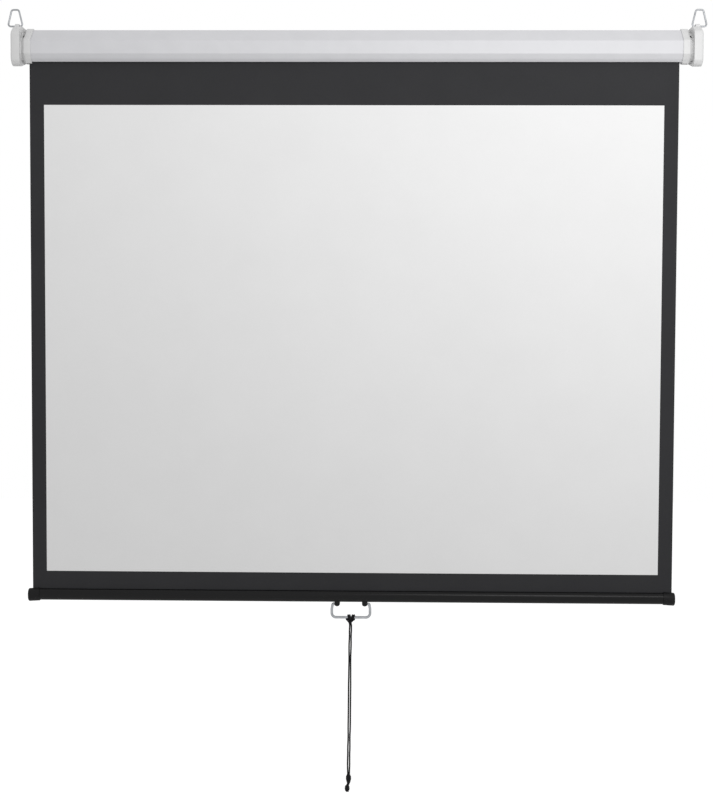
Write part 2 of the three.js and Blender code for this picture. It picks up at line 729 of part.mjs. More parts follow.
function idlePlug() {
  const inner = tubeLeft + IDLE.plugLength;
  const face = tubeLeft - IDLE.plugFlange;
  const bore = IDLE.pin + CLEAR;
  return turnX([
    [inner, bore],
    [inner, plugRadius],
    [tubeLeft - CLEAR, plugRadius],
    [tubeLeft - CLEAR, rollerRadius],
    [face, rollerRadius],
    [face, bore],
  ], axisY, ROLLER.axisZ);
}

// Torsion spring: one unbroken helix that grips a hub on the spindle and one on the anchor
function torsionSpring() {
  const sides = 5;
  const sections = MOTOR.springTurns * SPRING_STEPS + 1;
  const radius = MOTOR.springWire / 2;
  const pitch = (springEnd - springStart) / MOTOR.springTurns;
  const slope = Math.atan2(pitch, 2 * Math.PI * MOTOR.springMean);
  const corners = [];
  const centres = [];
  for (let s = 0; s < sections; s += 1) {
    const turn = (s / SPRING_STEPS) * Math.PI * 2;
    const x = springStart + (s / SPRING_STEPS) * pitch;
    const onHelix = (lift, mean) => {
      const a = turn - (lift * Math.sin(slope)) / MOTOR.springMean;
      return [
        x + lift * Math.cos(slope),
        axisY + mean * Math.cos(a),
        ROLLER.axisZ + mean * Math.sin(a),
      ];
    };
    centres.push(new THREE.Vector3(...onHelix(0, MOTOR.springMean)));
    for (let k = 0; k < sides; k += 1) {
      const a = (k / sides) * Math.PI * 2;
      corners.push(...onHelix(radius * Math.sin(a), MOTOR.springMean + radius * Math.cos(a)));
    }
  }
  let least = Infinity;
  centres.forEach((centre, i) => {
    for (let j = i + SPRING_STEPS / 2; j < centres.length; j += 1) {
      least = Math.min(least, centre.distanceTo(centres[j]) - MOTOR.springWire);
    }
  });
  console.log(`torsion spring: least gap to itself ${least.toFixed(2)} mm`);
  return tube(corners, sides, sections);
}

// Hub inside the tube that the spring's far end pulls on
function springAnchor() {
  const bore = MOTOR.spindle + CLEAR;
  return turnX([
    [anchorX, bore],
    [anchorX, plugRadius],
    [anchorFace, plugRadius],
    [anchorFace, springHub],
    [anchorFace + MOTOR.hubLength, springHub],
    [anchorFace + MOTOR.hubLength, bore],
  ], axisY, ROLLER.axisZ);
}

// The weight bar: an oval extrusion with a keyhole channel along its top for the hem
function barOutline(grow) {
  const facets = 32;
  return Array.from({ length: facets }, (_, i) => {
    const a = (i / facets) * Math.PI * 2;
    return point(
      sheetY + (BAR.depth / 2 + grow) * Math.cos(a), barMiddle + (BAR.height / 2 + grow) * Math.sin(a));
  });
}

function weightBar() {
  const [x0, x1] = [sheetLeft - BAR.past, sheetRight + BAR.past];
  const [c0, c1] = [x0 - OVERRUN, x1 + OVERRUN];
  const body = extrudeX(barOutline(0), x0, x1);
  const channel = rodX(channelRadius, c0, c1, sheetY, channelZ);
  const mouth = extrudeX(boxOutline(sheetY, barTop, mouthWidth, 2 * channelRadius), c0, c1);
  const roomTop = channelZ - channelRadius - BAR.wall;
  const below = extrudeX(
    boxOutline(sheetY, roomTop - BAR.height, 2 * BAR.depth, 2 * BAR.height), c0, c1);
  const room = carve(extrudeX(barOutline(-BAR.wall), c0, c1), { keep: [below] });
  return carve(body, { cut: [channel, mouth, room] });
}

// Moulded sleeve over an end of the bar
function barSleeve(side) {
  const sheetEdge = side > 0 ? sheetRight : sheetLeft;
  const outer = sheetEdge + side * SLEEVE.past;
  const inner = outer - side * SLEEVE.length;
  const grow = SLEEVE.wall + CLEAR;
  const crownRings = 3;
  const rings = [{ x: inner, outline: barOutline(grow) }];
  for (let k = 0; k <= crownRings; k += 1) {
    const a = (k / crownRings) * (Math.PI / 2);
    rings.push({
      x: outer - side * SLEEVE.crown * (1 - Math.sin(a)),
      outline: barOutline(grow - SLEEVE.crownInset * (1 - Math.cos(a))),
    });
  }
  const past = (x) => x - side * OVERRUN;
  const barEnd = sheetEdge + side * (BAR.past + CLEAR);
  const pocket = loftX([
    { x: past(inner), outline: barOutline(CLEAR) },
    { x: barEnd, outline: barOutline(CLEAR) },
  ]);
  const slotEnd = sheetEdge + side * CLEAR;
  const slotOutline = boxOutline(sheetY, barTop, mouthWidth, 4 * grow);
  const slot = loftX([{ x: past(inner), outline: slotOutline }, { x: slotEnd, outline: slotOutline }]);
  return carve(loftX(rings), { cut: [pocket, slot] });
}

// The lowest strip of the sheet, with the sewn loop that the hem rod fills
function hemStrip() {
  const top = viewFoot - CLEAR;
  const loop = pipeX(hemLoop, hemBore, sheetLeft, sheetRight, sheetY, channelZ);
  const foot = channelZ + (hemBore + hemLoop) / 2;
  const flat = extrudeX(
    boxOutline(sheetY, (top + foot) / 2, SHEET.thick, top - foot), sheetLeft, sheetRight);
  return carve(loop, { add: [flat] });
}

// Handle ears: round-bottomed lugs cut to sit against the underside of the bar
function handleEar(side) {
  const x = SHEET.offset + side * EAR.x;
  const [top, foot] = [barFoot + EAR.rise, pivotZ - earBore - EAR.floor];
  const bendFacets = 5;
  const flat = roundCorners(
    boxOutline(0, (top + foot) / 2, EAR.width, top - foot), EAR.corner, bendFacets);
  const block = new THREE.ExtrudeGeometry(new THREE.Shape(flat), { depth: EAR.depth, bevelEnabled: false })
    .rotateX(Math.PI / 2)
    .translate(x, sheetY + EAR.depth / 2, 0);
  const [x0, x1] = [x - EAR.width / 2 - OVERRUN, x + EAR.width / 2 + OVERRUN];
  const bore = rodX(earBore, x0, x1, sheetY, pivotZ);
  return carve(block, { cut: [bore, extrudeX(barOutline(CLEAR), x0, x1)] });
}

// Handle: one bent wire whose ends turn in the ears
function bail() {
  const bendFacets = 6;
  const reach = EAR.x + EAR.width / 2 + 2 * CLEAR + BAIL.topBend;
  const waist = reach + BAIL.waistOut;
  const half = roundCorners([
    point(EAR.x - EAR.width / 2 + BAIL.endInset, 0),
    point(reach, 0),
    point(waist, -BAIL.waistDrop),
    point(waist, -BAIL.drop),
    point(0, -BAIL.drop),
  ], [0, BAIL.topBend, BAIL.bend, BAIL.corner, 0], bendFacets, true);
  const other = half.slice(0, -1).map((p) => point(-p.x, p.y)).reverse();
  const path = [...half, ...other].map((p) => new THREE.Vector3(SHEET.offset + p.x, sheetY, pivotZ + p.y));
  return wire(path, BAIL.wire / 2);
}

// Cord route, from the handle's grip down to the knot
const cordX = SHEET.offset;
const cordTop = gripZ - CORD.throat;
const CORD_ROUTE = [
  [-0.6, 0, 0],
  [-1.2, 0.1, -30],
  [-1.7, 0.2, -60],
  [-1.9, 0.2, -100],
  [-2.2, 0.1, -150],
  [-2.5, 0, -200],
  [-3.0, -0.1, -242],
  [-3.4, -0.1, -272],
  [-3.5, 0, -301.6],
];
const cordFoot = CORD_ROUTE[CORD_ROUTE.length - 1];
const knotTop = cordTop + cordFoot[2] - CLEAR;

// How the hitch opens from the cord to the grip: shares of its height, spread and depth
const HITCH_SHARES = [[0, 0, 0], [0.25, 0.08, 0.1], [0.6, 0.55, 0.4], [1, 0.96, 0.8]];

function cordHitch() {
  const [x0, x1] = [cordX - CORD.hitchLeft, cordX + CORD.hitchRight];
  const wrap = earBore + CORD.hitchWall;
  const roll = rodX(wrap, x0, x1, sheetY, gripZ);
  const facets = 16;
  const ring = (z, halfX, halfY, shift) => Array.from({ length: facets }, (_, i) => {
    const a = (i / facets) * Math.PI * 2;
    return [cordX + shift + halfX * Math.cos(a), sheetY + halfY * Math.sin(a), z];
  });
  const wide = (CORD.hitchLeft + CORD.hitchRight) / 2;
  const middle = (CORD.hitchRight - CORD.hitchLeft) / 2;
  const thin = CORD.width / 2;
  const shift = CORD_ROUTE[0][0];
  const levels = HITCH_SHARES.map(([up, spread, deep]) => {
    const halfX = THREE.MathUtils.lerp(thin, wide, spread);
    const halfY = THREE.MathUtils.lerp(thin, wrap, deep);
    return ring(
      THREE.MathUtils.lerp(cordTop + CLEAR, gripZ, up), halfX, halfY,
      THREE.MathUtils.lerp(shift, middle, spread));
  });
  const body = tube(levels.flat(2), facets, levels.length);
  const hole = rodX(earBore, x0 - OVERRUN, x1 + OVERRUN, sheetY, gripZ);
  return carve(body, { add: [roll], cut: [hole] });
}

function pullCord() {
  const path = CORD_ROUTE.map(([x, y, z]) => new THREE.Vector3(cordX + x, sheetY + y, cordTop + z));
  const facets = 8;
  const steps = 24;
  const section = new THREE.Shape(circleOutline(0, 0, CORD.width / 2, facets));
  return new THREE.ExtrudeGeometry(section, {
    steps,
    extrudePath: new THREE.CatmullRomCurve3(path),
    bevelEnabled: false,
  });
}

// Turned forms of the overhand knot and of the bound tip below it
function knotForm(top, { width, height, shift }, shares) {
  const profile = shares.map(([across, down]) => [(width / 2) * across, top - height * down]);
  const facets = 14;
  return turnZ(profile.reverse(), cordX + cordFoot[0] + shift, sheetY + cordFoot[1], facets);
}

const KNOT_SHARES = [
  [0, 0], [0.5, 0], [0.78, 0.12], [1, 0.36], [0.94, 0.62], [0.72, 0.84], [0.44, 1], [0, 1]];
const TIP_SHARES = [
  [0, 0], [0.42, 0], [0.46, 0.16], [0.84, 0.32], [1, 0.6], [0.9, 0.86], [0.6, 1], [0, 1]];
const tipTop = knotTop - KNOT.height - CLEAR;

// Assembly
piece('case_shell', caseShell(), FINISH.whiteSteel);
piece('end_cap_right', endCap(spadeSocket()), FINISH.whiteMoulding);
piece('end_cap_left', mirrorX(endCap(roundSocket())), FINISH.whiteMoulding);
for (const [side, name] of [[-1, 'left'], [1, 'right']]) {
  piece(`cap_screw_${name}`, capScrew(side), FINISH.zincWire);
  piece(`hanging_ring_${name}`, hangingRing(side), FINISH.zincWire);
}

piece('roller_tube', pipeX(rollerRadius, tubeBore, tubeLeft, tubeRight, axisY, ROLLER.axisZ),
  FINISH.tubeSteel);
piece('fabric_wraps', pipeX(wrapsRadius, wrapsBore, sheetLeft, sheetRight, axisY, ROLLER.axisZ),
  FINISH.blackSheet);
piece('idle_plug', idlePlug(), FINISH.plug);
piece('idle_pin', onRoller(IDLE.pin, -bossInner - IDLE.pinReach, tubeLeft + IDLE.pinGrip),
  FINISH.tubeSteel);
piece('ratchet_plug', ratchetPlug(), FINISH.plug);
piece('spring_anchor', springAnchor(), FINISH.plug);
piece('spindle', spindle(), FINISH.tubeSteel);
piece('ratchet_wheel', ratchetWheel(), FINISH.tubeSteel);
piece('torsion_spring', torsionSpring(), FINISH.springSteel);
PAWL.angles.forEach((deg, i) => {
  piece(`pawl_${i + 1}`, pawl(deg), FINISH.tubeSteel);
  piece(`pawl_pin_${i + 1}`, pawlPin(deg), FINISH.tubeSteel);
});

piece('screen_sheet',
  extrudeX(boxOutline(sheetY, viewFoot / 2, SHEET.thick, -viewFoot), sheetLeft, sheetRight),
  FINISH.whiteSheet);
piece('hem_strip', hemStrip(), FINISH.blackSheet);
piece('hem_rod', rodX(HEM.rod, sheetLeft + HEM.rodShort, sheetRight - HEM.rodShort, sheetY, channelZ),
  FINISH.plug);
piece('weight_bar', weightBar(), FINISH.blackBar);
piece('bar_sleeve_left', barSleeve(-1), FINISH.blackMoulding);
piece('bar_sleeve_right', barSleeve(1), FINISH.blackMoulding);
for (const [side, name] of [[-1, 'left'], [1, 'right']]) {
  piece(`handle_ear_${name}`, handleEar(side), FINISH.blackMoulding);
}
piece('handle_bail', bail(), FINISH.zincWire);
piece('cord_hitch', cordHitch(), FINISH.cord);
piece('pull_cord', pullCord(), FINISH.cord);
piece('cord_knot', knotForm(knotTop, KNOT, KNOT_SHARES), FINISH.cord);
piece('cord_tip', knotForm(tipTop, TIP, TIP_SHARES), FINISH.cord);

export default screen;
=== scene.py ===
import math
import random

import bmesh
import bpy
from mathutils import Matrix, Vector
from mathutils.geometry import tessellate_polygon


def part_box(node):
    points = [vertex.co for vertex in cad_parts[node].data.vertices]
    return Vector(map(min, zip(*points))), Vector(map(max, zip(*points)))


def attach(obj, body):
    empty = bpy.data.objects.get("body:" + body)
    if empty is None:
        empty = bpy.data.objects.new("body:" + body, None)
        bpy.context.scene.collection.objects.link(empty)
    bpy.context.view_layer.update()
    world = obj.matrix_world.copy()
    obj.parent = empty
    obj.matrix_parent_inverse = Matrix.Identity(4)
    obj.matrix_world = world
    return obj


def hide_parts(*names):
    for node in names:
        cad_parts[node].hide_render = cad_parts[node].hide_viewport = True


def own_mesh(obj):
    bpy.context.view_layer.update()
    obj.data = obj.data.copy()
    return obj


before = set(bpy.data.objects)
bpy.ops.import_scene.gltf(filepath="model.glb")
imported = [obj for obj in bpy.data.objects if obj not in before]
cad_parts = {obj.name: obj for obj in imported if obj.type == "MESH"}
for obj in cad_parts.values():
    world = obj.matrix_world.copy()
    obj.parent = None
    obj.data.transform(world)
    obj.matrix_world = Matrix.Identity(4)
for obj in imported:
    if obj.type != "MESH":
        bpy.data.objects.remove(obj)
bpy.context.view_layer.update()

# Camera: it stands 2.6 m in front of the screen, a little right of its middle and at
# about half its height, and looks slightly down. Its place was fitted to the photograph.
IMAGE_HEIGHT_PX = 800
FOCAL_LENGTH_PX = 1300
SENSOR_MM = 36.0
CAMERA_PLACE = Vector((0.048164, -2.623309, -0.581564))
CAMERA_YAW, CAMERA_PITCH, CAMERA_ROLL = 0.016986, -0.043861, -0.004136


def placed(name, data):
    """An object with that name and data, in the scene."""
    made = bpy.data.objects.new(name, data)
    bpy.context.scene.collection.objects.link(made)
    return made


camera_data = bpy.data.cameras.new("camera")
camera_data.sensor_fit = "VERTICAL"
camera_data.sensor_height = SENSOR_MM
camera_data.lens = SENSOR_MM * FOCAL_LENGTH_PX / IMAGE_HEIGHT_PX
camera = placed("camera", camera_data)
camera_turn = (
    Matrix.Rotation(CAMERA_YAW, 4, "Z")
    @ Matrix.Rotation(CAMERA_PITCH, 4, "X")
    @ Matrix.Rotation(CAMERA_ROLL, 4, "Y")
    @ Matrix.Rotation(math.radians(90), 4, "X")
)
camera.matrix_world = Matrix.Translation(CAMERA_PLACE) @ camera_turn
bpy.context.scene.camera = camera


# Pull cord: one length of 3.2 mm braided black polyester, doubled over the handle's grip.
# Its two strands hang side by side, here touching and there apart, down to their knot.
MM = 0.001
STRAND_RADIUS = 1.6
SHEET_X = -5.0
SHEET_Y = -46.825
GRIP_Z = -1129.4
BAIL_RADIUS = 2.7
HITCH_DROP = 15.5
CORD_TOP = GRIP_Z - HITCH_DROP
CORD_ROUTE = [
    (-0.6, 0, 0),
    (-1.2, 0.1, -30),
    (-1.7, 0.2, -60),
    (-1.9, 0.2, -100),
    (-2.2, 0.1, -150),
    (-2.5, 0, -200),
    (-3.0, -0.1, -242),
    (-3.4, -0.1, -272),
    (-3.5, 0, -301.6),
]
# Depth below the cord's top, and how far each strand's middle stands from the cord's there
STRAND_SPREAD = [(0, 1.65), (12, 1.9), (21, 1.65), (42, 2.1), (69, 1.63), (100, 1.85), (125, 2.1),
                 (205, 2.15), (228, 1.7), (250, 2.1), (259, 1.9), (282, 2.15), (301.6, 1.63)]
# The pair turns to and fro by this angle, as the sine of its depth over this length
STRAND_TURN = 0.3
STRAND_TURN_MM = 37.0


def linear(code):
    """The linear colour of an sRGB hex value."""
    channels = [int(code[i:i + 2], 16) / 255 for i in (1, 3, 5)]
    return (*[c / 12.92 if c <= 0.04045 else ((c + 0.055) / 1.055) ** 2.4 for c in channels], 1.0)


def add_node(tree, kind, inputs=(), **settings):
    """A node with its settings. Its inputs are values, sockets or nodes, by name or in order."""
    made = tree.nodes.new(kind)
    for name, value in settings.items():
        setattr(made, name, value)
    for name, value in inputs.items() if isinstance(inputs, dict) else enumerate(inputs):
        if isinstance(value, bpy.types.Node):
            value = value.outputs[0]
        if isinstance(value, bpy.types.NodeSocket):
            tree.links.new(value, made.inputs[name])
        else:
            made.inputs[name].default_value = value
    return made


def new_finish(name, color, roughness, metallic=0.0, specular=0.5):
    """A material with one principled shader, its tree and that shader."""
    made = bpy.data.materials.new(name)
    made.use_nodes = True
    tree = made.node_tree
    tree.nodes.clear()
    shader = add_node(tree, "ShaderNodeBsdfPrincipled", {
        "Base Color": linear(color),
        "Roughness": roughness,
        "Metallic": metallic,
        "Specular IOR Level": specular,
    })
    add_node(tree, "ShaderNodeOutputMaterial", {"Surface": shader})
    return made, tree, shader


# Noise stays mostly between these two values. A Mix node keeps its colours at these sockets.
NOISE_LOW, NOISE_HIGH = 0.3, 0.7
MIX_FIRST, MIX_SECOND, MIX_RESULT = 6, 7, 2


def tinted(tree, shader, factor, dark, light, low=NOISE_LOW, high=NOISE_HIGH):
    """The shader's colour runs from dark to light as the factor runs from low to high."""
    share = add_node(tree, "ShaderNodeMapRange", {
        "Value": factor, "From Min": low, "From Max": high})
    mix = add_node(tree, "ShaderNodeMix", {
        "Factor": share, MIX_FIRST: linear(dark), MIX_SECOND: linear(light)}, data_type="RGBA")
    tree.links.new(mix.outputs[MIX_RESULT], shader.inputs["Base Color"])


def roughened(tree, shader, noise, low, high):
    """The shader's roughness runs from low to high with the noise."""
    share = add_node(tree, "ShaderNodeMapRange", {
        "Value": noise, "From Min": NOISE_LOW, "From Max": NOISE_HIGH, "To Min": low, "To Max": high})
    tree.links.new(share.outputs[0], shader.inputs["Roughness"])


def bumped(tree, shader, height, distance_mm, strength=1.0):
    """The surface seems to stand up by that distance where the height is one."""
    bump = add_node(tree, "ShaderNodeBump", {
        "Height": height, "Distance": distance_mm * MM, "Strength": strength})
    tree.links.new(bump.outputs[0], shader.inputs["Normal"])


def grain(tree, size_mm, detail=2.0, stretch=(1, 1, 1)):
    """Noise whose grains are about that many millimetres across, on Object coordinates."""
    place = add_node(tree, "ShaderNodeTexCoord")
    scaled = add_node(tree, "ShaderNodeMapping", {
        "Vector": place.outputs["Object"], "Scale": stretch})
    return add_node(tree, "ShaderNodeTexNoise", {
        "Vector": scaled, "Scale": 1 / (size_mm * MM), "Detail": detail}).outputs["Fac"]


# Braided polyester: 16 yarns cross in fine diamonds, matt, with a painted sheen that makes their crowns
# a little lighter
def braid_finish():
    made, tree, shader = new_finish("braided_black_polyester", "#1c1c1e", 0.8, specular=0.2)
    yarns_each_way = 8
    lay_mm = 5.0
    around = add_node(tree, "ShaderNodeAttribute", attribute_name="around")
    along = add_node(tree, "ShaderNodeAttribute", attribute_name="along")
    split = add_node(tree, "ShaderNodeSeparateXYZ", [around.outputs["Vector"]])
    angle = add_node(tree, "ShaderNodeMath", [split.outputs["Y"], split.outputs["X"]],
                     operation="ARCTAN2")
    turn = add_node(tree, "ShaderNodeMath", [angle, yarns_each_way / 2], operation="MULTIPLY")
    climb = add_node(tree, "ShaderNodeMath",
                     [along.outputs["Fac"], yarns_each_way / 2 * math.tau / (lay_mm * MM)],
                     operation="MULTIPLY")
    waves = []
    for lean in ("ADD", "SUBTRACT"):
        phase = add_node(tree, "ShaderNodeMath", [turn, climb], operation=lean)
        waves.append(add_node(tree, "ShaderNodeMath", [phase], operation="SINE"))
    crown_height_and_sheen = add_node(tree, "ShaderNodeMath", waves, operation="MULTIPLY")
    # Painted sheen: the yarns' crowns are tinted lighter, the hollows between them darker; the same
    # pattern also raises the crowns as bumps
    tinted(tree, shader, crown_height_and_sheen, "#0e0e10", "#242427", low=-1.0, high=1.0)
    bumped(tree, shader, crown_height_and_sheen, 0.12)
    return made


def sweep_nodes():
    """Round stock swept along a path, with where each point lies around and along it."""
    tree = bpy.data.node_groups.new("round_stock", "GeometryNodeTree")
    sockets = {}
    for name, kind in [("Path", "Geometry"), ("Radius", "Float"), ("Sides", "Int"),
                       ("Finish", "Material")]:
        sockets[name] = tree.interface.new_socket(
            name, in_out="INPUT", socket_type="NodeSocket" + kind).identifier
    tree.interface.new_socket("Mesh", in_out="OUTPUT", socket_type="NodeSocketGeometry")
    given = add_node(tree, "NodeGroupInput")
    path = add_node(tree, "GeometryNodeMeshToCurve", {"Mesh": given.outputs["Path"]})
    travelled = add_node(tree, "GeometryNodeSplineParameter")
    kept_path = add_node(tree, "GeometryNodeCaptureAttribute", [path])
    kept_path.capture_items.new("FLOAT", "along")
    tree.links.new(travelled.outputs["Length"], kept_path.inputs[1])
    circle = add_node(tree, "GeometryNodeCurvePrimitiveCircle", {
        "Resolution": given.outputs["Sides"], "Radius": given.outputs["Radius"]}, mode="RADIUS")
    where = add_node(tree, "GeometryNodeInputPosition")
    kept_circle = add_node(tree, "GeometryNodeCaptureAttribute", [circle])
    kept_circle.capture_items.new("VECTOR", "around")
    tree.links.new(where.outputs[0], kept_circle.inputs[1])
    mesh = add_node(tree, "GeometryNodeCurveToMesh", {
        "Curve": kept_path, "Profile Curve": kept_circle, "Fill Caps": True})
    for name, kind, kept in [("along", "FLOAT", kept_path), ("around", "FLOAT_VECTOR", kept_circle)]:
        mesh = add_node(tree, "GeometryNodeStoreNamedAttribute", {
            "Geometry": mesh, "Name": name, "Value": kept.outputs[1]},
            data_type=kind, domain="POINT")
    smooth = add_node(tree, "GeometryNodeSetShadeSmooth", {"Geometry": mesh, "Shade Smooth": True})
    real = add_node(tree, "GeometryNodeRealizeInstances", {"Geometry": smooth})
    dressed = add_node(tree, "GeometryNodeSetMaterial", {
        "Geometry": real, "Material": given.outputs["Finish"]})
    add_node(tree, "NodeGroupOutput", [dressed])
    return tree, sockets


round_stock, round_stock_ids = sweep_nodes()


def settled(piece):
    """The piece with its modifiers' result as its plain mesh."""
    bpy.context.view_layer.update()
    graph = bpy.context.evaluated_depsgraph_get()
    result = bpy.data.meshes.new_from_object(
        piece.evaluated_get(graph), preserve_all_data_layers=True, depsgraph=graph)
    piece.modifiers.clear()
    piece.data = result
    return piece


def finished(piece, finish):
    """The piece with that finish alone."""
    piece.data.materials.clear()
    piece.data.materials.append(finish)
    return piece


def swept_piece(name, paths, radius, finish, sides, closed=False):
    """Round stock along each path, in millimetres, as one piece."""
    points = []
    edges = []
    for path in paths:
        first = len(points)
        points += [Vector(p) * MM for p in path]
        edges += [(i, i + 1) for i in range(first, len(points) - 1)]
        if closed:
            edges.append((len(points) - 1, first))
    mesh = bpy.data.meshes.new(name)
    mesh.from_pydata(points, edges, [])
    piece = placed(name, mesh)
    sweep = piece.modifiers.new("sweep", "NODES")
    sweep.node_group = round_stock
    sweep[round_stock_ids["Radius"]] = radius * MM
    sweep[round_stock_ids["Sides"]] = sides
    sweep[round_stock_ids["Finish"]] = finish
    return finished(settled(piece), finish)


def smooth_path(points, steps):
    """A smooth line through given points, with that many steps between neighbours."""
    points = [Vector(p) for p in points]
    line = []
    for i in range(len(points) - 1):
        before, start = points[max(i - 1, 0)], points[i]
        end, after = points[i + 1], points[min(i + 2, len(points) - 1)]
        for k in range(steps):
            t = k / steps
            line.append(0.5 * (2 * start + (end - before) * t
                               + (2 * before - 5 * start + 4 * end - after) * t ** 2
                               + (3 * start - before - 3 * end + after) * t ** 3))
    line.append(points[-1])
    return line


cord_finish = braid_finish()
cord_line = [Vector((SHEET_X, SHEET_Y, CORD_TOP)) + p for p in smooth_path(CORD_ROUTE, steps=16)]


def eased_at(table, t):
    """A value read from a table of places and values, easing from each to the next."""
    for (a, va), (b, vb) in zip(table, table[1:]):
        if t <= b:
            k = (t - a) / (b - a)
            return va + (vb - va) * k * k * (3 - 2 * k)
    return table[-1][1]


def strand_line(side):
    """The middle of the strand on that side of the cord."""
    line = []
    for p in cord_line:
        depth = CORD_TOP - p.z
        apart = side * eased_at(STRAND_SPREAD, depth)
        turn = STRAND_TURN * math.sin(depth / STRAND_TURN_MM)
        line.append(p + Vector((apart * math.cos(turn), apart * math.sin(turn), 0)))
    return line


pull_cord = swept_piece("doubled_pull_cord", [strand_line(-1), strand_line(1)],
                        STRAND_RADIUS, cord_finish, sides=16)

# Hitch: the doubled end goes over the grip and the strands pass through it, a lark's head.
# Each side winds twice round the wire, and the bight hangs across the front below the grip.
WIND_SLACK = 0.15
WIND_RADIUS = BAIL_RADIUS + STRAND_RADIUS + WIND_SLACK
WIND_START = 1.65
WIND_PITCH = 3.3
WIND_DEGREES = range(195, -466, -30)
TAIL = [(-1.6, 0, -HITCH_DROP), (-1.6, -1.1, -12), (-1.6, -2.7, -8), (-1.6, -3.9, -4)]
BIGHT = [(-5.2, -3.6, -5.5), (-3.5, -5.6, -7.3), (-1.7, -6.3, -8.5), (0, -6.4, -8.9)]
# How far the hitch stands to the right at the grip and to the left at its foot, and its sway
HITCH_SHIFT = 0.5
CORD_SHIFT = 0.6
HITCH_SWAY = 1.8


def hitch_half(side):
    """One side of the hitch, from its tail up, round the wire and down to the bight's middle."""
    wound = []
    for degrees in WIND_DEGREES:
        a = math.radians(degrees)
        x = WIND_START + WIND_PITCH * (WIND_DEGREES[0] - degrees) / 360
        wound.append((-x, WIND_RADIUS * math.cos(a), WIND_RADIUS * math.sin(a)))
    points = []
    for x, y, z in TAIL + wound + BIGHT:
        sink = min(1, max(0, -z / HITCH_DROP))
        shift = HITCH_SHIFT - (HITCH_SHIFT + CORD_SHIFT) * sink ** 2
        points.append((side * -x + shift - HITCH_SWAY * math.sin(math.pi * sink), y, z))
    return points


hitch_points = hitch_half(-1) + hitch_half(1)[::-1][1:]
hitch_line = [Vector((SHEET_X, SHEET_Y, GRIP_Z)) + p for p in smooth_path(hitch_points, steps=8)]
hitch = swept_piece("cord_larks_head", [hitch_line], STRAND_RADIUS, cord_finish, sides=16)

# Knot: both strands are wound round themselves and drawn tight into a slim barrel, which
# holds them together and gives the fingers something to pull.
KNOT_GAP = 0.3
KNOT_TOP = CORD_TOP + CORD_ROUTE[-1][2] - KNOT_GAP
KNOT_HEIGHT = 18.5
KNOT_WAIST = 3.9
KNOT_SHARES = [(0, 0.4), (0.12, 0.62), (0.3, 0.96), (0.5, 1.0), (0.7, 0.86), (0.88, 0.55), (1, 0.4)]
KNOT_TURNS, KNOT_SWAY = 3.2, 0.5


def wound_knot(x, top, height, waist, shares, turns, sway):
    """Two strands wound down a swelling core, and the core strand between them."""
    steps = 90
    core_inset = 1
    lines = []
    for start in (0.0, math.pi):
        line = []
        for k in range(steps + 1):
            t = k / steps
            a = start + turns * math.tau * t
            r = waist * eased_at(shares, t)
            line.append((x + r * math.cos(a), SHEET_Y + r * math.sin(a),
                         top - height * t + sway * math.sin(a)))
        lines.append(line)
    lines.append([(x, SHEET_Y, top - core_inset), (x, SHEET_Y, top - height + core_inset)])
    return lines


knot_x = SHEET_X + CORD_ROUTE[-1][0]
knot_lines = wound_knot(knot_x, KNOT_TOP, KNOT_HEIGHT, KNOT_WAIST, KNOT_SHARES, KNOT_TURNS, KNOT_SWAY)
knot = swept_piece("cord_knot_barrel", knot_lines, STRAND_RADIUS, cord_finish, sides=14)

# Cord's end: a second, smaller knot below the first, tied in the cord's two ends, with the
# cut yarns standing out under it.
END_TOP = KNOT_TOP - KNOT_HEIGHT - KNOT_GAP
END_SHIFT = -2.6
END_HEIGHT = 11.5
END_NECK = 4.6
END_WAIST = 3.5
END_SHARES = [(0, 0.45), (0.25, 0.9), (0.5, 1.0), (0.75, 0.9), (1, 0.5)]
END_TURNS, END_SWAY = 2.0, 0.6
NECK_TOP_HALF, NECK_FOOT_HALF, NECK_SINK = 1.2, 1.3, 1
YARNS, YARN_SEED = 34, 7
YARN_RADIUS = 0.22
YARN_LENGTH, YARN_SINK = 2.6, 1.0
YARN_BUNDLE, YARN_TWIST = 2.1, 0.3
LEAST_SPLAY, MORE_SPLAY, LEAST_FALL = 0.45, 0.4, 0.7
end_x = knot_x + END_SHIFT
end_knot_top = END_TOP - END_NECK
end_lines = wound_knot(end_x, end_knot_top, END_HEIGHT, END_WAIST, END_SHARES, END_TURNS, END_SWAY)
for side in (-1, 1):
    end_lines.append([(knot_x + side * NECK_TOP_HALF, SHEET_Y, END_TOP),
                      (end_x + side * NECK_FOOT_HALF, SHEET_Y, end_knot_top - NECK_SINK)])
end_body = swept_piece("cord_end_knot", end_lines, STRAND_RADIUS, cord_finish, sides=14)


def yarn_path(chance):
    """One cut yarn: it starts inside the knot's foot, splays and falls, a little twisted."""
    a = math.tau * chance.random()
    r = YARN_BUNDLE * math.sqrt(chance.random())
    splay = LEAST_SPLAY + MORE_SPLAY * chance.random()
    fall = YARN_LENGTH * (LEAST_FALL + (1 - LEAST_FALL) * chance.random())
    path = []
    for t in (0, 0.35, 0.7, 1):
        out, turn = r * (1 + splay * t ** 2), a + YARN_TWIST * t
        path.append((end_x + out * math.cos(turn), SHEET_Y + out * math.sin(turn),
                     end_knot_top - END_HEIGHT + YARN_SINK - fall * t))
    return path


chance = random.Random(YARN_SEED)
yarn_paths = [yarn_path(chance) for i in range(YARNS)]
cord_yarns = swept_piece("cord_cut_yarns", yarn_paths, YARN_RADIUS, cord_finish, sides=5)

for piece, node in [(pull_cord, "pull_cord"), (hitch, "cord_hitch"), (knot, "cord_knot"),
                    (end_body, "cord_tip"), (cord_yarns, "cord_tip")]:
    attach(piece, "cord")
    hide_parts(node)


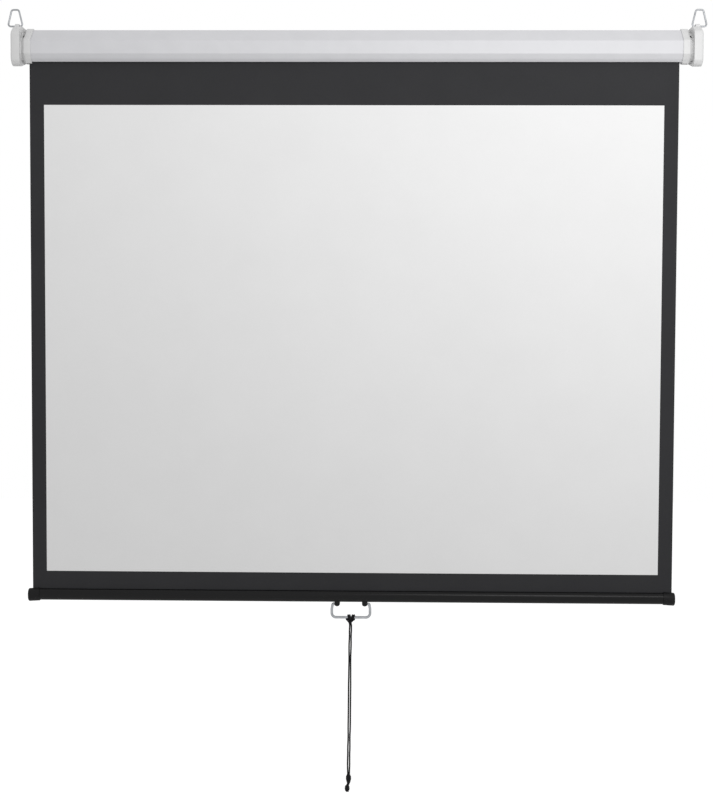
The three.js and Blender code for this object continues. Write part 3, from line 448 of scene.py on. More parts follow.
# Case: one length of 0.8 mm sheet steel, roll-formed to a many-sided section that is open
# along a slot underneath and climbs from there to its flat back, with a baked white enamel.
CASE_DEPTH = 64.025
CASE_HALF_HEIGHT = 33.0
CASE_HALF_LENGTH = 649.7
CASE_WALL = 0.8
CASE_BEND = 1.6
CASE_CHAMFER = 26.0
CASE_BACK_FOOT, CASE_FRONT_FOOT = -16.0, -18.0
LOW_CHAMFER_REACH, LOW_CHAMFER_FOOT = 7.0, -26.5
SLOT_FRONT, SLOT_REAR = -49.825, -43.825
SLOT_LIP = 5.0
CASE_SECTION = [
    (0, CASE_BACK_FOOT),
    (0, CASE_HALF_HEIGHT),
    (CASE_CHAMFER - CASE_DEPTH, CASE_HALF_HEIGHT),
    (-CASE_DEPTH, CASE_HALF_HEIGHT - CASE_CHAMFER),
    (-CASE_DEPTH, CASE_FRONT_FOOT),
    (LOW_CHAMFER_REACH - CASE_DEPTH, LOW_CHAMFER_FOOT),
    (SLOT_FRONT, -CASE_HALF_HEIGHT),
    (SLOT_REAR, -CASE_HALF_HEIGHT),
]
SCREW_X = 643.25
SCREW_Y = -19.0125
SCREW_HOLE = 1.8
# How far a cutter reaches past what it cuts
PAST = 2.0
SIDES = ((-1, "left"), (1, "right"))


def rounded(points, radius, segments=8, is_open=False):
    """An outline with its corners turned to arcs, none longer than its edges allow."""
    points = [Vector(p) for p in points]
    count = len(points)
    radii = radius if isinstance(radius, (list, tuple)) else [radius] * count
    edge_share = 0.49
    out = []
    for i, corner in enumerate(points):
        if is_open and i in (0, count - 1):
            out.append(corner.copy())
            continue
        back = points[i - 1] - corner
        ahead = points[(i + 1) % count] - corner
        room = min(back.length, ahead.length) * edge_share
        back.normalize()
        ahead.normalize()
        half = math.acos(max(-1, min(1, back.dot(ahead)))) / 2
        trim = min(radii[i] / math.tan(half), room)
        arc = trim * math.tan(half)
        centre = corner + (back + ahead).normalized() * arc / math.sin(half)
        start = corner + back * trim - centre
        end = corner + ahead * trim - centre
        turn = math.atan2(start.x * end.y - start.y * end.x, start.dot(end))
        for k in range(segments + 1):
            a = turn * k / segments
            out.append(centre + Vector((start.x * math.cos(a) - start.y * math.sin(a),
                                        start.x * math.sin(a) + start.y * math.cos(a))))
    return out


def new_piece(name, corners, faces, *finishes):
    """A piece from corners in millimetres, with its faces turned outwards."""
    mesh = bpy.data.meshes.new(name)
    mesh.from_pydata([Vector(c) * MM for c in corners], [], faces)
    shape = bmesh.new()
    shape.from_mesh(mesh)
    bmesh.ops.recalc_face_normals(shape, faces=shape.faces)
    shape.to_mesh(mesh)
    shape.free()
    for finish in finishes:
        mesh.materials.append(finish)
    return placed(name, mesh)


def extruded_x(name, outline, x0, x1, *finishes, holes=()):
    """A solid of constant section between two places along the screen's width."""
    loops = [outline, *holes]
    lids = tessellate_polygon([[Vector((p.x, p.y, 0)) for p in loop] for loop in loops])
    flat = [p for loop in loops for p in loop]
    count = len(flat)
    corners = [(x, p.x, p.y) for x in (x0, x1) for p in flat]
    faces = [tuple(f) for f in lids] + [tuple(i + count for i in f) for f in lids]
    first = 0
    for loop in loops:
        for i in range(len(loop)):
            a, b = first + i, first + (i + 1) % len(loop)
            faces.append((a, b, b + count, a + count))
        first += len(loop)
    return new_piece(name, corners, faces, *finishes)


def ring_faces(rings, count):
    """Faces that join rings of that many corners each, with both ends closed."""
    faces = []
    last = (rings - 1) * count
    for first in range(0, last, count):
        for i in range(count):
            a, b = first + i, first + (i + 1) % count
            faces.append((a, b, b + count, a + count))
    return faces + [tuple(range(count)), tuple(range(last, last + count))]


def turned(name, profile, place, axis, *finishes, sides):
    """A solid turned on the lathe from points (distance along the axis, radius)."""
    corners = []
    for along, radius in profile:
        for i in range(sides):
            a = math.tau * i / sides
            u, v = radius * math.cos(a), radius * math.sin(a)
            corners.append((along, u, v) if axis == "X" else (u, v, along))
    shift = Vector(place)
    return new_piece(name, [Vector(c) + shift for c in corners],
                     ring_faces(len(profile), sides), *finishes)


def rod(name, start, end, radius, place, axis, sides):
    """A plain round solid between two distances along its axis."""
    return turned(name, [(start, radius), (end, radius)], place, axis, sides=sides)


def carved(piece, cut=(), add=(), keep=()):
    """The piece within the solids to keep, with others added or cut; all those are used up."""
    for operation, tools in (("INTERSECT", keep), ("UNION", add), ("DIFFERENCE", cut)):
        for tool in tools:
            step = piece.modifiers.new("carve", "BOOLEAN")
            step.operation = operation
            step.solver = "EXACT"
            step.object = tool
            settled(piece)
            bpy.data.objects.remove(tool)
    return piece


def eased(piece, width_mm=0, segments=2, angle=32):
    """Sharp edges get a small round, and curved faces shade smoothly."""
    merge_mm = 0.01
    flat_degrees = 0.5
    shape = bmesh.new()
    shape.from_mesh(piece.data)
    bmesh.ops.remove_doubles(shape, verts=shape.verts, dist=merge_mm * MM)
    bmesh.ops.dissolve_limit(shape, angle_limit=math.radians(flat_degrees), verts=shape.verts,
                             edges=shape.edges)
    shape.to_mesh(piece.data)
    shape.free()
    if width_mm:
        ease = piece.modifiers.new("ease", "BEVEL")
        ease.width = width_mm * MM
        ease.segments = segments
        ease.limit_method = "ANGLE"
        ease.angle_limit = math.radians(angle)
        ease.use_clamp_overlap = True
        ease.miter_outer = "MITER_ARC"
        settled(piece)
    piece.data.shade_smooth()
    piece.data.set_sharp_from_angle(angle=math.radians(angle))
    return piece


# Baked enamel: satin gloss over a slight orange peel, faint dust in the finish
def enamel_finish():
    made, tree, shader = new_finish("baked_white_enamel", "#d9d9dc", 0.46, specular=0.35)
    peel = grain(tree, 2.4, detail=3)
    dust = grain(tree, 35, detail=4)
    tinted(tree, shader, dust, "#d7d7da", "#dbdbde")
    roughened(tree, shader, dust, 0.42, 0.5)
    bumped(tree, shader, peel, 0.02, strength=0.6)
    return made


def strip_outline(path, wall, bend):
    """Sheet metal bent along a path, with its thickness on the left of it."""
    path = [Vector(p) for p in path]
    inner = []
    for i, corner in enumerate(path):
        before, after = path[max(i - 1, 0)], path[min(i + 1, len(path) - 1)]
        a = (after - corner if i == 0 else corner - before).normalized()
        b = a if i == len(path) - 1 else (after - corner).normalized()
        side = Vector((-a.y - b.y, a.x + b.x)).normalized()
        inner.append(corner + side * wall / side.dot(Vector((-a.y, a.x))))
    outer_line = rounded(path, bend, segments=6, is_open=True)
    inner_line = rounded(inner, bend - wall, segments=6, is_open=True)
    return outer_line + inner_line[::-1]


lip_top = -CASE_HALF_HEIGHT + SLOT_LIP
case_path = [(SLOT_REAR, lip_top), CASE_SECTION[-1], *CASE_SECTION[:-1], (SLOT_FRONT, lip_top)]
case_shell = extruded_x("enamelled_case", strip_outline(case_path, CASE_WALL, CASE_BEND),
                        -CASE_HALF_LENGTH, CASE_HALF_LENGTH, enamel_finish())
carved(case_shell, cut=[
    rod("hole", CASE_HALF_HEIGHT - PAST, CASE_HALF_HEIGHT + PAST, SCREW_HOLE,
        (side * SCREW_X, SCREW_Y, 0), "Z", sides=32)
    for side, word in SIDES])
eased(case_shell)
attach(case_shell, "case")
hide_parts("case_shell")


# End caps: white ABS mouldings. A collar slips over the case's end and a screw holds it from
# above; a crowned rim closes the end, with a lug on top for the ring and a boss inside. Their
# places are along the screen's width, from its middle.
CAP_SEAT = 650.0
CAP_COLLAR_END = 636.5
CAP_SHOULDER_START, CAP_GROOVE_START, CAP_GROOVE_FLOOR = 648.5, 652.4, 653.6
CAP_RIM_ROOT = 658.5
CAP_RIM_INNER = 655.0
CAP_RIM_OUTER = 673.4
# How far the collar, shoulder and groove stand out from the case's section
CAP_COLLAR_GROW, CAP_SHOULDER_GROW, CAP_GROOVE_GROW = 2.3, -0.8, -5.0
CAP_COLLAR_CORNER = 3.4
# The rim's outline from its foot at the wall, up, forwards and round to below the slot
CAP_RIM = [(0, -22.4), (0, 36.5), (-56, 36.5), (-76, 22), (-76, -33), (-70, -40), (-62, -43),
           (-52, -39.9)]
CAP_RIM_CORNERS = [3, 4, 12, 12, 10, 8, 6, 6]
CAP_CROWN, CAP_CROWN_INSET, CAP_CROWN_SHARE = 4.4, 8.0, 0.92
CAP_OUTER_WALL, CAP_BACK_WALL, CAP_HOLLOW_INSET = 3.0, 2.3, 7.5
CAP_SLOT, CAP_SLOT_END = 8.0, 648.0
CLEAR = 0.3
ROLLER_Y = -26.3
BOSS_RADIUS, BOSS_INNER = 9.0, 655.0
SPADE_THICK, SPADE_WIDE = 3.6, 8.2
PIN_HOLE = 3.3
RIB_THICK, RIB_INNER = 2.0, 661.0
LUG_X, LUG_Y, LUG_Z = 668.0, -40.025, 39.5
LUG_WIDTH, LUG_RADIUS, LUG_HOLE = 8.0, 4.6, 2.3
LUG_FOOT, LUG_SINK = 16.0, 4.0
KEYHOLE_X, KEYHOLE_Z, KEYHOLE_TRAVEL = 659.7, 8.0, 8.0
KEYHOLE_HEAD, KEYHOLE_SLOT, KEYHOLE_DEPTH = 4.0, 2.2, 4.3
# A relief in the moulding beside the collar, in the broad chamfer
NOTCH_SINK, NOTCH_REACH, NOTCH_HEIGHT, NOTCH_WIDTH, NOTCH_Z = 11.0, 32.0, 13.0, 6.0, 21.0


# ABS moulding: satin, with the fine spark-eroded grain of its mould
def abs_finish():
    made, tree, shader = new_finish("moulded_white_abs", "#dddddd", 0.45, specular=0.35)
    spark = grain(tree, 0.5)
    flow = grain(tree, 25, detail=3)
    tinted(tree, shader, flow, "#dbdbdb", "#dfdfdf")
    roughened(tree, shader, flow, 0.42, 0.52)
    bumped(tree, shader, spark, 0.03, strength=0.5)
    return made


def offset(points, distances):
    """An anticlockwise outline with each edge moved out by its own distance."""
    points = [Vector(p) for p in points]
    count = len(points)
    lines = []
    for i in range(count):
        along = (points[(i + 1) % count] - points[i]).normalized()
        outwards = Vector((along.y, -along.x))
        lines.append((points[i] + outwards * distances[i % len(distances)], along))
    moved = []
    for i in range(count):
        (start, along), (other, before) = lines[i], lines[i - 1]
        gap = start - other
        t = (gap.x * along.y - gap.y * along.x) / (before.x * along.y - before.y * along.x)
        moved.append(other + before * t)
    return moved


def grown_case(grow, back=0):
    """The case's section with its back moved out by one distance and the rest by another."""
    return offset(CASE_SECTION, [back] + [grow] * (len(CASE_SECTION) - 1))


def box_outline(y, z, depth, height):
    """A rectangle round its middle."""
    return [Vector((y + sy * depth / 2, z + sz * height / 2))
            for sy, sz in ((1, -1), (1, 1), (-1, 1), (-1, -1))]


def arc_points(y, z, radii, steps, start=0.0, sweep=math.tau):
    """Points on a round or oval arc, with both its ends where it isn't a full turn."""
    count = steps if sweep == math.tau else steps + 1
    return [Vector((y + radii[0] * math.cos(start + sweep * i / steps),
                    z + radii[1] * math.sin(start + sweep * i / steps))) for i in range(count)]


def lofted_x(name, rings, *finishes):
    """Rings of equal counts joined along the screen's width and closed at both ends."""
    corners = [(x, p.x, p.y) for x, outline in rings for p in outline]
    return new_piece(name, corners, ring_faces(len(rings), len(rings[0][1])), *finishes)


def prism(name, outline, low, high, axis, *finishes):
    """A solid of constant section along Y or Z, its outline given in X and the third axis."""
    corners = [(p.x, t, p.y) if axis == "Y" else (p.x, p.y, t) for t in (low, high) for p in outline]
    return new_piece(name, corners, ring_faces(2, len(outline)), *finishes)


white_abs = abs_finish()


def cap_solid():
    """The cap before its hollows: a sleeve with its groove, joined to the crowned rim."""
    overlap = 2.0
    collar, shoulder, groove, root = [
        rounded(grown_case(grow, back), CAP_COLLAR_CORNER)
        for grow, back in ((CAP_COLLAR_GROW, 0), (CAP_SHOULDER_GROW, 0), (CAP_GROOVE_GROW, 0),
                           (CAP_GROOVE_GROW, -overlap))]
    rim = rounded(CAP_RIM, CAP_RIM_CORNERS)
    sleeve = [(CAP_COLLAR_END, collar), (CAP_SHOULDER_START, collar), (CAP_GROOVE_START, shoulder),
              (CAP_GROOVE_FLOOR, groove), (CAP_RIM_ROOT + overlap, groove)]
    rings = [(CAP_RIM_ROOT, root), (CAP_RIM_INNER, rim)]
    crown_steps = 9
    rim_depth = -min(y for y, z in CAP_RIM)
    for k in range(crown_steps + 1):
        a = k / crown_steps * math.pi / 2 * CAP_CROWN_SHARE
        drawn_in = 1 - CAP_CROWN_INSET * (1 - math.cos(a)) / rim_depth
        rings.append((CAP_RIM_OUTER - CAP_CROWN * (1 - math.sin(a)), [p * drawn_in for p in rim]))
    return carved(lofted_x("cap", sleeve, white_abs), add=[lofted_x("rim", rings, white_abs)])


def lug_outline():
    """The lug's side view: a round top over a foot that is sunk in the rim."""
    root = CAP_RIM[1][1] - LUG_SINK
    foot = [Vector((LUG_Y + side * LUG_FOOT / 2, root)) for side in (-1, 1)]
    return foot + arc_points(LUG_Y, LUG_Z, (LUG_RADIUS, LUG_RADIUS), steps=24, sweep=math.pi)


def keyhole_cutter():
    """A round hole for a screw's head below a slot for its shank, through the cap's back."""
    head, slot = (KEYHOLE_HEAD, KEYHOLE_HEAD), (KEYHOLE_SLOT, KEYHOLE_SLOT)
    neck = math.asin(KEYHOLE_SLOT / KEYHOLE_HEAD)
    outline = arc_points(KEYHOLE_X, KEYHOLE_Z, head, steps=40,
                         start=math.pi / 2 + neck, sweep=math.tau - 2 * neck)
    outline += arc_points(KEYHOLE_X, KEYHOLE_Z + KEYHOLE_TRAVEL, slot, steps=16, sweep=math.pi)
    return prism("keyhole", outline, -KEYHOLE_DEPTH, PAST, "Y")


def end_cap(name, side):
    """A cap with its hollow, ribs, boss, lug and holes, mirrored for the left end."""
    body = cap_solid()
    axle = (0, ROLLER_Y, 0)
    wall_inside = CAP_RIM_OUTER - CAP_OUTER_WALL
    hollow = grown_case(-CAP_HOLLOW_INSET, -CAP_BACK_WALL)
    carved(body, cut=[
        extruded_x("socket", offset(CASE_SECTION, [CLEAR]), CAP_COLLAR_END - PAST, CAP_SEAT),
        extruded_x("hollow", hollow, CAP_SEAT - PAST, wall_inside)])
    ribs = []
    for depth, height in ((2 * CASE_DEPTH, RIB_THICK), (RIB_THICK, 4 * CASE_HALF_HEIGHT)):
        rib = extruded_x("rib", box_outline(ROLLER_Y, 0, depth, height), RIB_INNER, wall_inside + CLEAR)
        room = extruded_x("room", offset(hollow, [CLEAR]), RIB_INNER - PAST, wall_inside + PAST)
        ribs.append(carved(rib, keep=[room]))
    # The right cap holds the spindle's flat spade end, the left one the idle pin
    if side > 0:
        socket = extruded_x("spade_socket", box_outline(ROLLER_Y, 0, SPADE_THICK, SPADE_WIDE),
                            BOSS_INNER - PAST, wall_inside)
    else:
        socket = rod("pin_socket", BOSS_INNER - PAST, wall_inside, PIN_HOLE, axle, "X", sides=48)
    chamfer_y = NOTCH_Z - (CASE_HALF_HEIGHT - CASE_CHAMFER + CASE_DEPTH)
    notch_y = chamfer_y + NOTCH_SINK - NOTCH_REACH / 2
    carved(body, add=ribs + [
        rod("boss", BOSS_INNER, wall_inside + CLEAR, BOSS_RADIUS, axle, "X", sides=64),
        extruded_x("lug", lug_outline(), LUG_X - LUG_WIDTH / 2, LUG_X + LUG_WIDTH / 2),
    ], cut=[
        rod("ring_hole", LUG_X - LUG_WIDTH, LUG_X + LUG_WIDTH, LUG_HOLE, (0, LUG_Y, LUG_Z), "X",
            sides=40),
        extruded_x("slot", box_outline(SHEET_Y, -CASE_HALF_HEIGHT, CAP_SLOT, 2 * SLOT_LIP),
                   CAP_COLLAR_END - PAST, CAP_SLOT_END),
        extruded_x("notch", box_outline(notch_y, NOTCH_Z, NOTCH_REACH, NOTCH_HEIGHT),
                   CAP_SEAT, CAP_SEAT + NOTCH_WIDTH),
        rod("screw_hole", CASE_HALF_HEIGHT - PAST, CASE_HALF_HEIGHT + 2 * PAST, SCREW_HOLE,
            (SCREW_X, SCREW_Y, 0), "Z", sides=32),
        keyhole_cutter(),
        socket])
    eased(body, width_mm=0.45, angle=30)
    body.name = name
    if side < 0:
        body.data.transform(Matrix.Scale(-1, 4, (1, 0, 0)))
        body.data.flip_normals()
    return finished(body, white_abs)


for side, word in SIDES:
    cap = end_cap("moulded_cap_" + word, side)
    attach(cap, "case")
    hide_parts("end_cap_" + word)


# Cap screws: zinc-plated pan-head self-tapping screws with a cross recess. One through the
# top of each collar holds the cap on the case.
SCREW_SHANK, SCREW_HEAD = 1.45, 3.4
SCREW_RIM, SCREW_HEAD_HEIGHT = 0.9, 2.0
SCREW_CROWN_SHARE = 0.35
SCREW_LENGTH, SCREW_TIP, SCREW_TIP_RADIUS = 10.0, 2.0, 0.3
CROSS_LENGTH, CROSS_WIDTH, CROSS_DEPTH = 3.6, 0.8, 1.2
SCREW_SEAT = CASE_HALF_HEIGHT + CAP_COLLAR_GROW


# Zinc-plated steel: drawn metal that still shines under a thin, slightly clouded plating
def zinc_finish(name, dark, light):
    made, tree, shader = new_finish(name, light, 0.35, metallic=1.0)
    cloud = grain(tree, 9, detail=3)
    draw = grain(tree, 0.8, stretch=(1, 1, 0.2))
    tinted(tree, shader, cloud, dark, light)
    roughened(tree, shader, draw, 0.34, 0.44)
    bumped(tree, shader, draw, 0.01, strength=0.3)
    return made


def screw_profile():
    """The screw's half section: the shank with its tip, the head's rim and its dome."""
    foot = SCREW_SEAT - SCREW_LENGTH
    profile = [(foot, SCREW_TIP_RADIUS), (foot + SCREW_TIP, SCREW_SHANK),
               (SCREW_SEAT, SCREW_SHANK), (SCREW_SEAT, SCREW_HEAD),
               (SCREW_SEAT + SCREW_RIM, SCREW_HEAD)]
    steps = 8
    for k in range(1, steps + 1):
        a = math.pi / 2 * k / steps
        profile.append((SCREW_SEAT + SCREW_RIM + (SCREW_HEAD_HEIGHT - SCREW_RIM) * math.sin(a),
                        SCREW_HEAD * (SCREW_CROWN_SHARE + (1 - SCREW_CROWN_SHARE) * math.cos(a))))
    return profile


zinc_screws = zinc_finish("zinc_plated_screw_steel", "#a9abae", "#c3c5c8")
head_top = SCREW_SEAT + SCREW_HEAD_HEIGHT
for side, word in SIDES:
    screw = turned("cap_screw_cross_" + word, screw_profile(), (side * SCREW_X, SCREW_Y, 0), "Z",
                   zinc_screws, sides=40)
    carved(screw, cut=[
        prism("arm", box_outline(side * SCREW_X, SCREW_Y, across, deep),
              head_top - CROSS_DEPTH, head_top + PAST, "Z")
        for across, deep in ((CROSS_LENGTH, CROSS_WIDTH), (CROSS_WIDTH, CROSS_LENGTH))])
    eased(screw, width_mm=0.1, segments=1, angle=35)
    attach(screw, "case")
    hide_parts("cap_screw_" + word)

# Hanging rings: 3.5 mm zinc-plated wire, bent to a rounded trapezium. Its base passes through
# the lug, where the ring can swing.
RING_RADIUS = 1.75
RING_SHIFT = 4.0
RING_BASE, RING_TOP, RING_HEIGHT, RING_CORNER = 29.5, 14.0, 32.4, 4.5
zinc_wire = zinc_finish("zinc_plated_wire", "#96989b", "#aeb0b3")
for side, word in SIDES:
    flat = rounded([(-RING_BASE / 2, 0), (RING_BASE / 2, 0), (RING_TOP / 2, RING_HEIGHT),
                    (-RING_TOP / 2, RING_HEIGHT)], RING_CORNER, segments=10)
    x = side * (LUG_X + RING_SHIFT)
    path = [(x + side * p.x, LUG_Y, LUG_Z + p.y) for p in flat]
    ring = swept_piece("wire_ring_" + word, [path], RING_RADIUS, zinc_wire, sides=20, closed=True)
    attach(ring, word + "_ring")
    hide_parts("hanging_ring_" + word)


# Sheet: 0.45 mm glass-fibre fabric coated with matt white PVC, black on its back, with a black
# border printed round the viewing area. It hangs from the roller straight down to the bar.
SHEET_LEFT, SHEET_RIGHT = -642.7, 632.7
SHEET_FRONT, SHEET_BACK = -47.05, -46.6
BORDER_SIDE = 28.2
VIEW_TOP = -115.0
VIEW_FOOT = -1040.0
SHEET_STEP = 20
# A faint ripple of two waves: its depth, the waves' lengths over 2 pi, the fine one's lean
# down the sheet and its share, and the broad one's start
RIPPLE = 0.5
BROAD_WAVE, FINE_WAVE, FINE_LEAN = 95, 41, 300
FINE_SHARE, BROAD_START = 0.6, 0.6
WHITE, BLACK, BACKING = 0, 1, 2


# Matt PVC coating over a fine woven ground; the threads, 0.5 mm apart, are drawn 2 mm apart
# because they would not show otherwise
def fabric_finish(name, dark, light, roughness):
    made, tree, shader = new_finish(name, light, roughness, specular=0.25)
    thread_mm = 2.0
    cloud_share, fleck_share = 0.65, 0.35
    place = add_node(tree, "ShaderNodeTexCoord")
    split = add_node(tree, "ShaderNodeSeparateXYZ", [place.outputs["Object"]])
    waves = []
    for axis in "XZ":
        turns = add_node(tree, "ShaderNodeMath", [split.outputs[axis], math.tau / (thread_mm * MM)],
                         operation="MULTIPLY")
        waves.append(add_node(tree, "ShaderNodeMath", [turns], operation="SINE"))
    weave = add_node(tree, "ShaderNodeMath", waves, operation="MULTIPLY")
    cloud = add_node(tree, "ShaderNodeMath", [grain(tree, 90, detail=3), cloud_share],
                     operation="MULTIPLY")
    mixed = add_node(tree, "ShaderNodeMath", [grain(tree, 3), fleck_share, cloud],
                     operation="MULTIPLY_ADD")
    tinted(tree, shader, mixed, dark, light)
    bumped(tree, shader, weave, 0.03, strength=0.5)
    return made


matt_white = fabric_finish("matt_white_screen_coating", "#f0f0f0", "#f3f3f3", 0.9)
print_black = fabric_finish("printed_black_border", "#2d2d2f", "#313133", 0.8)
back_black = fabric_finish("black_backing", "#232325", "#29292b", 0.85)


def spread(stops, step):
    """Places between the stops, no further apart than the step."""
    out = [stops[0]]
    for a, b in zip(stops, stops[1:]):
        count = max(1, math.ceil(abs(b - a) / step))
        out += [a + (b - a) * (i + 1) / count for i in range(count)]
    return out


def ripple(x, z):
    """How far the hanging sheet stands forward at a place; it is flat at its top and foot."""
    fade = math.sin(math.pi * min(1, max(0, z / VIEW_FOOT)))
    broad = math.sin(x / BROAD_WAVE + BROAD_START)
    return RIPPLE * fade * (broad + FINE_SHARE * math.sin(x / FINE_WAVE + z / FINE_LEAN))


def sheet_piece(name):
    """The sheet as two skins with a closed edge; squares outside the viewing area are black."""
    view_left, view_right = SHEET_LEFT + BORDER_SIDE, SHEET_RIGHT - BORDER_SIDE
    xs = spread([SHEET_LEFT, view_left, view_right, SHEET_RIGHT], SHEET_STEP)
    zs = spread([0, VIEW_TOP, VIEW_FOOT], SHEET_STEP)
    corners = [(x, y + ripple(x, z), z) for y in (SHEET_FRONT, SHEET_BACK) for z in zs for x in xs]
    row, skin = len(xs), len(xs) * len(zs)
    faces = []
    prints = []
    for j in range(len(zs) - 1):
        for i in range(row - 1):
            a = j * row + i
            square = (a, a + 1, a + 1 + row, a + row)
            x, z = (xs[i] + xs[i + 1]) / 2, (zs[j] + zs[j + 1]) / 2
            in_view = view_left < x < view_right and z < VIEW_TOP
            faces += [square, tuple(k + skin for k in square[::-1])]
            prints += [WHITE if in_view else BLACK, BACKING]
    edge = [j * row for j in range(len(zs))]
    edge += [skin - row + i for i in range(1, row)]
    edge += [j * row + row - 1 for j in range(len(zs) - 2, -1, -1)]
    edge += list(range(row - 2, 0, -1))
    for a, b in zip(edge, edge[1:] + edge[:1]):
        faces.append((a, b, b + skin, a + skin))
        prints.append(BLACK)
    piece = new_piece(name, corners, faces, matt_white, print_black, back_black)
    piece.data.polygons.foreach_set("material_index", prints)
    piece.data.shade_smooth()
    piece.data.set_sharp_from_angle(angle=math.radians(40))
    return piece


sheet = sheet_piece("hung_screen_sheet")
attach(sheet, "case")
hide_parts("screen_sheet")

# Hem: the sheet's lowest strip is folded back and welded into a loop. A rod fills the loop
# and keeps it in the weight bar's channel.
BAR_TOP = -1075.5
BAR_HEIGHT = 23.0
BAR_DEPTH = 16.0
BAR_WALL = 1.4
BAR_CHANNEL = 3.7
BAR_MOUTH = 1.8
BAR_FOOT = BAR_TOP - BAR_HEIGHT
BAR_MIDDLE = BAR_TOP - BAR_HEIGHT / 2
CHANNEL_Z = BAR_TOP - BAR_WALL - BAR_CHANNEL
HEM_LOOP, HEM_BORE = 3.2, 2.5


def hem_outline():
    """The hem's section: the flat strip and, below it, the outside of the loop."""
    half = (SHEET_BACK - SHEET_FRONT) / 2
    gap = math.asin(half / HEM_LOOP)
    loop = arc_points(SHEET_Y, CHANNEL_Z, (HEM_LOOP, HEM_LOOP), steps=40,
                      start=math.pi / 2 - gap, sweep=2 * gap - math.tau)
    return [Vector((SHEET_Y + half, VIEW_FOOT)), *loop, Vector((SHEET_Y - half, VIEW_FOOT))]


hem_bore = arc_points(SHEET_Y, CHANNEL_Z, (HEM_BORE, HEM_BORE), steps=36)
hem = extruded_x("welded_hem", hem_outline(), SHEET_LEFT, SHEET_RIGHT, print_black, holes=[hem_bore])
eased(hem)
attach(hem, "bar")
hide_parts("hem_strip")
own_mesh(sheet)

# Turns of fabric: the top of the sheet always stays on the roller, wound as a spiral that
# ends where the sheet leaves it. The fabric is black on both faces there.
WRAP_INNER, WRAP_OUTER, WRAP_THICK = 19.32, 20.0, 0.3
WRAP_TURNS = 1.5
WRAP_STEPS = 120


def wrap_outline():
    """The turns' section: out along the spiral's outer face and back along its inner one."""
    outer = []
    inner = []
    for k in range(WRAP_STEPS + 1):
        t = k / WRAP_STEPS
        a = math.pi - math.tau * WRAP_TURNS * (1 - t)
        r = WRAP_INNER + (WRAP_OUTER - WRAP_THICK - WRAP_INNER) * t
        for line, radius in ((inner, r), (outer, r + WRAP_THICK)):
            line.append(Vector((ROLLER_Y + radius * math.cos(a), radius * math.sin(a))))
    return outer + inner[::-1]


wraps = extruded_x("fabric_turns", wrap_outline(), SHEET_LEFT, SHEET_RIGHT, back_black)
eased(wraps)
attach(wraps, "roller")
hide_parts("fabric_wraps")


# Weight bar: a black anodised aluminium extrusion, oval and hollow, with a keyhole channel
# along its top that holds the hem. The die leaves fine lines along it.
BAR_LEFT, BAR_RIGHT = -645.0, 635.0
# Along the mouth, how far the oval is trimmed at each side and how low its lips lie
MOUTH_TRIM, MOUTH_DIP = 0.1, 0.07


def anodised_finish():
    made, tree, shader = new_finish("black_anodised_aluminium", "#0b0b0c", 0.26, specular=0.19)
    die = grain(tree, 0.9, detail=3, stretch=(0.004, 1, 1))
    tinted(tree, shader, die, "#09090a", "#0e0e0f")
    roughened(tree, shader, die, 0.22, 0.3)
    bumped(tree, shader, die, 0.015, strength=0.5)
    return made


def bar_outline(grow):
    """The bar's outer oval, grown all round by a distance."""
    return arc_points(SHEET_Y, BAR_MIDDLE, (BAR_DEPTH / 2 + grow, BAR_HEIGHT / 2 + grow),
                      steps=96)


def keyhole_outline():
    """The bar's outer section, which runs down into its channel and back out."""
    half = BAR_MOUTH / 2
    outer = [p for p in bar_outline(0)
             if abs(p.x - SHEET_Y) > half + MOUTH_TRIM or p.y < BAR_MIDDLE]
    rear = [i for i, p in enumerate(outer) if p.x > SHEET_Y]
    top = max(rear, key=lambda i: outer[i].y)
    gap = math.asin(half / BAR_CHANNEL)
    channel = arc_points(SHEET_Y, CHANNEL_Z, (BAR_CHANNEL, BAR_CHANNEL), steps=48,
                         start=math.pi / 2 - gap, sweep=2 * gap - math.tau)
    rear_lip, front_lip = [Vector((SHEET_Y + s * half, BAR_TOP - MOUTH_DIP)) for s in (1, -1)]
    return [*outer[top + 1:], *outer[:top + 1], rear_lip, *channel, front_lip]


def room_outline():
    """The hollow under the channel: the bar's section inside its wall, with a flat ceiling."""
    ceiling = CHANNEL_Z - BAR_CHANNEL - BAR_WALL
    depth, height = BAR_DEPTH / 2 - BAR_WALL, BAR_HEIGHT / 2 - BAR_WALL
    start = math.asin((ceiling - BAR_MIDDLE) / height)
    return arc_points(SHEET_Y, BAR_MIDDLE, (depth, height), steps=48,
                      start=start, sweep=-math.pi - 2 * start)


bar = extruded_x("black_weight_bar", keyhole_outline(), BAR_LEFT, BAR_RIGHT, anodised_finish(),
                 holes=[room_outline()])
eased(bar)
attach(bar, "bar")
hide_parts("weight_bar")


# Bar sleeves: black nylon mouldings pressed over the bar's ends, with a slot for the sheet.
# Each reaches past the sheet's edge and droops a touch at its outer end.
SLEEVE_LENGTH, SLEEVE_WALL = 23.0, 1.2
# How far the left and the right sleeve reach past the sheet's edge
SLEEVE_PAST = {-1: 9.0, 1: 6.0}
SLEEVE_CROWN, SLEEVE_CROWN_INSET = 3.0, 3.4
SLEEVE_DROOP = 1.2


# Moulded nylon: satin, with a fine spark-eroded grain and faint marks of its flow
def nylon_finish(name, dark, light):
    made, tree, shader = new_finish(name, light, 0.45, specular=0.18)
    spark = grain(tree, 0.6)
    flow = grain(tree, 12, detail=3)
    tinted(tree, shader, flow, dark, light)
    roughened(tree, shader, flow, 0.4, 0.52)
    bumped(tree, shader, spark, 0.04, strength=0.5)
    return made


black_nylon = nylon_finish("moulded_black_nylon", "#0b0b0c", "#121213")


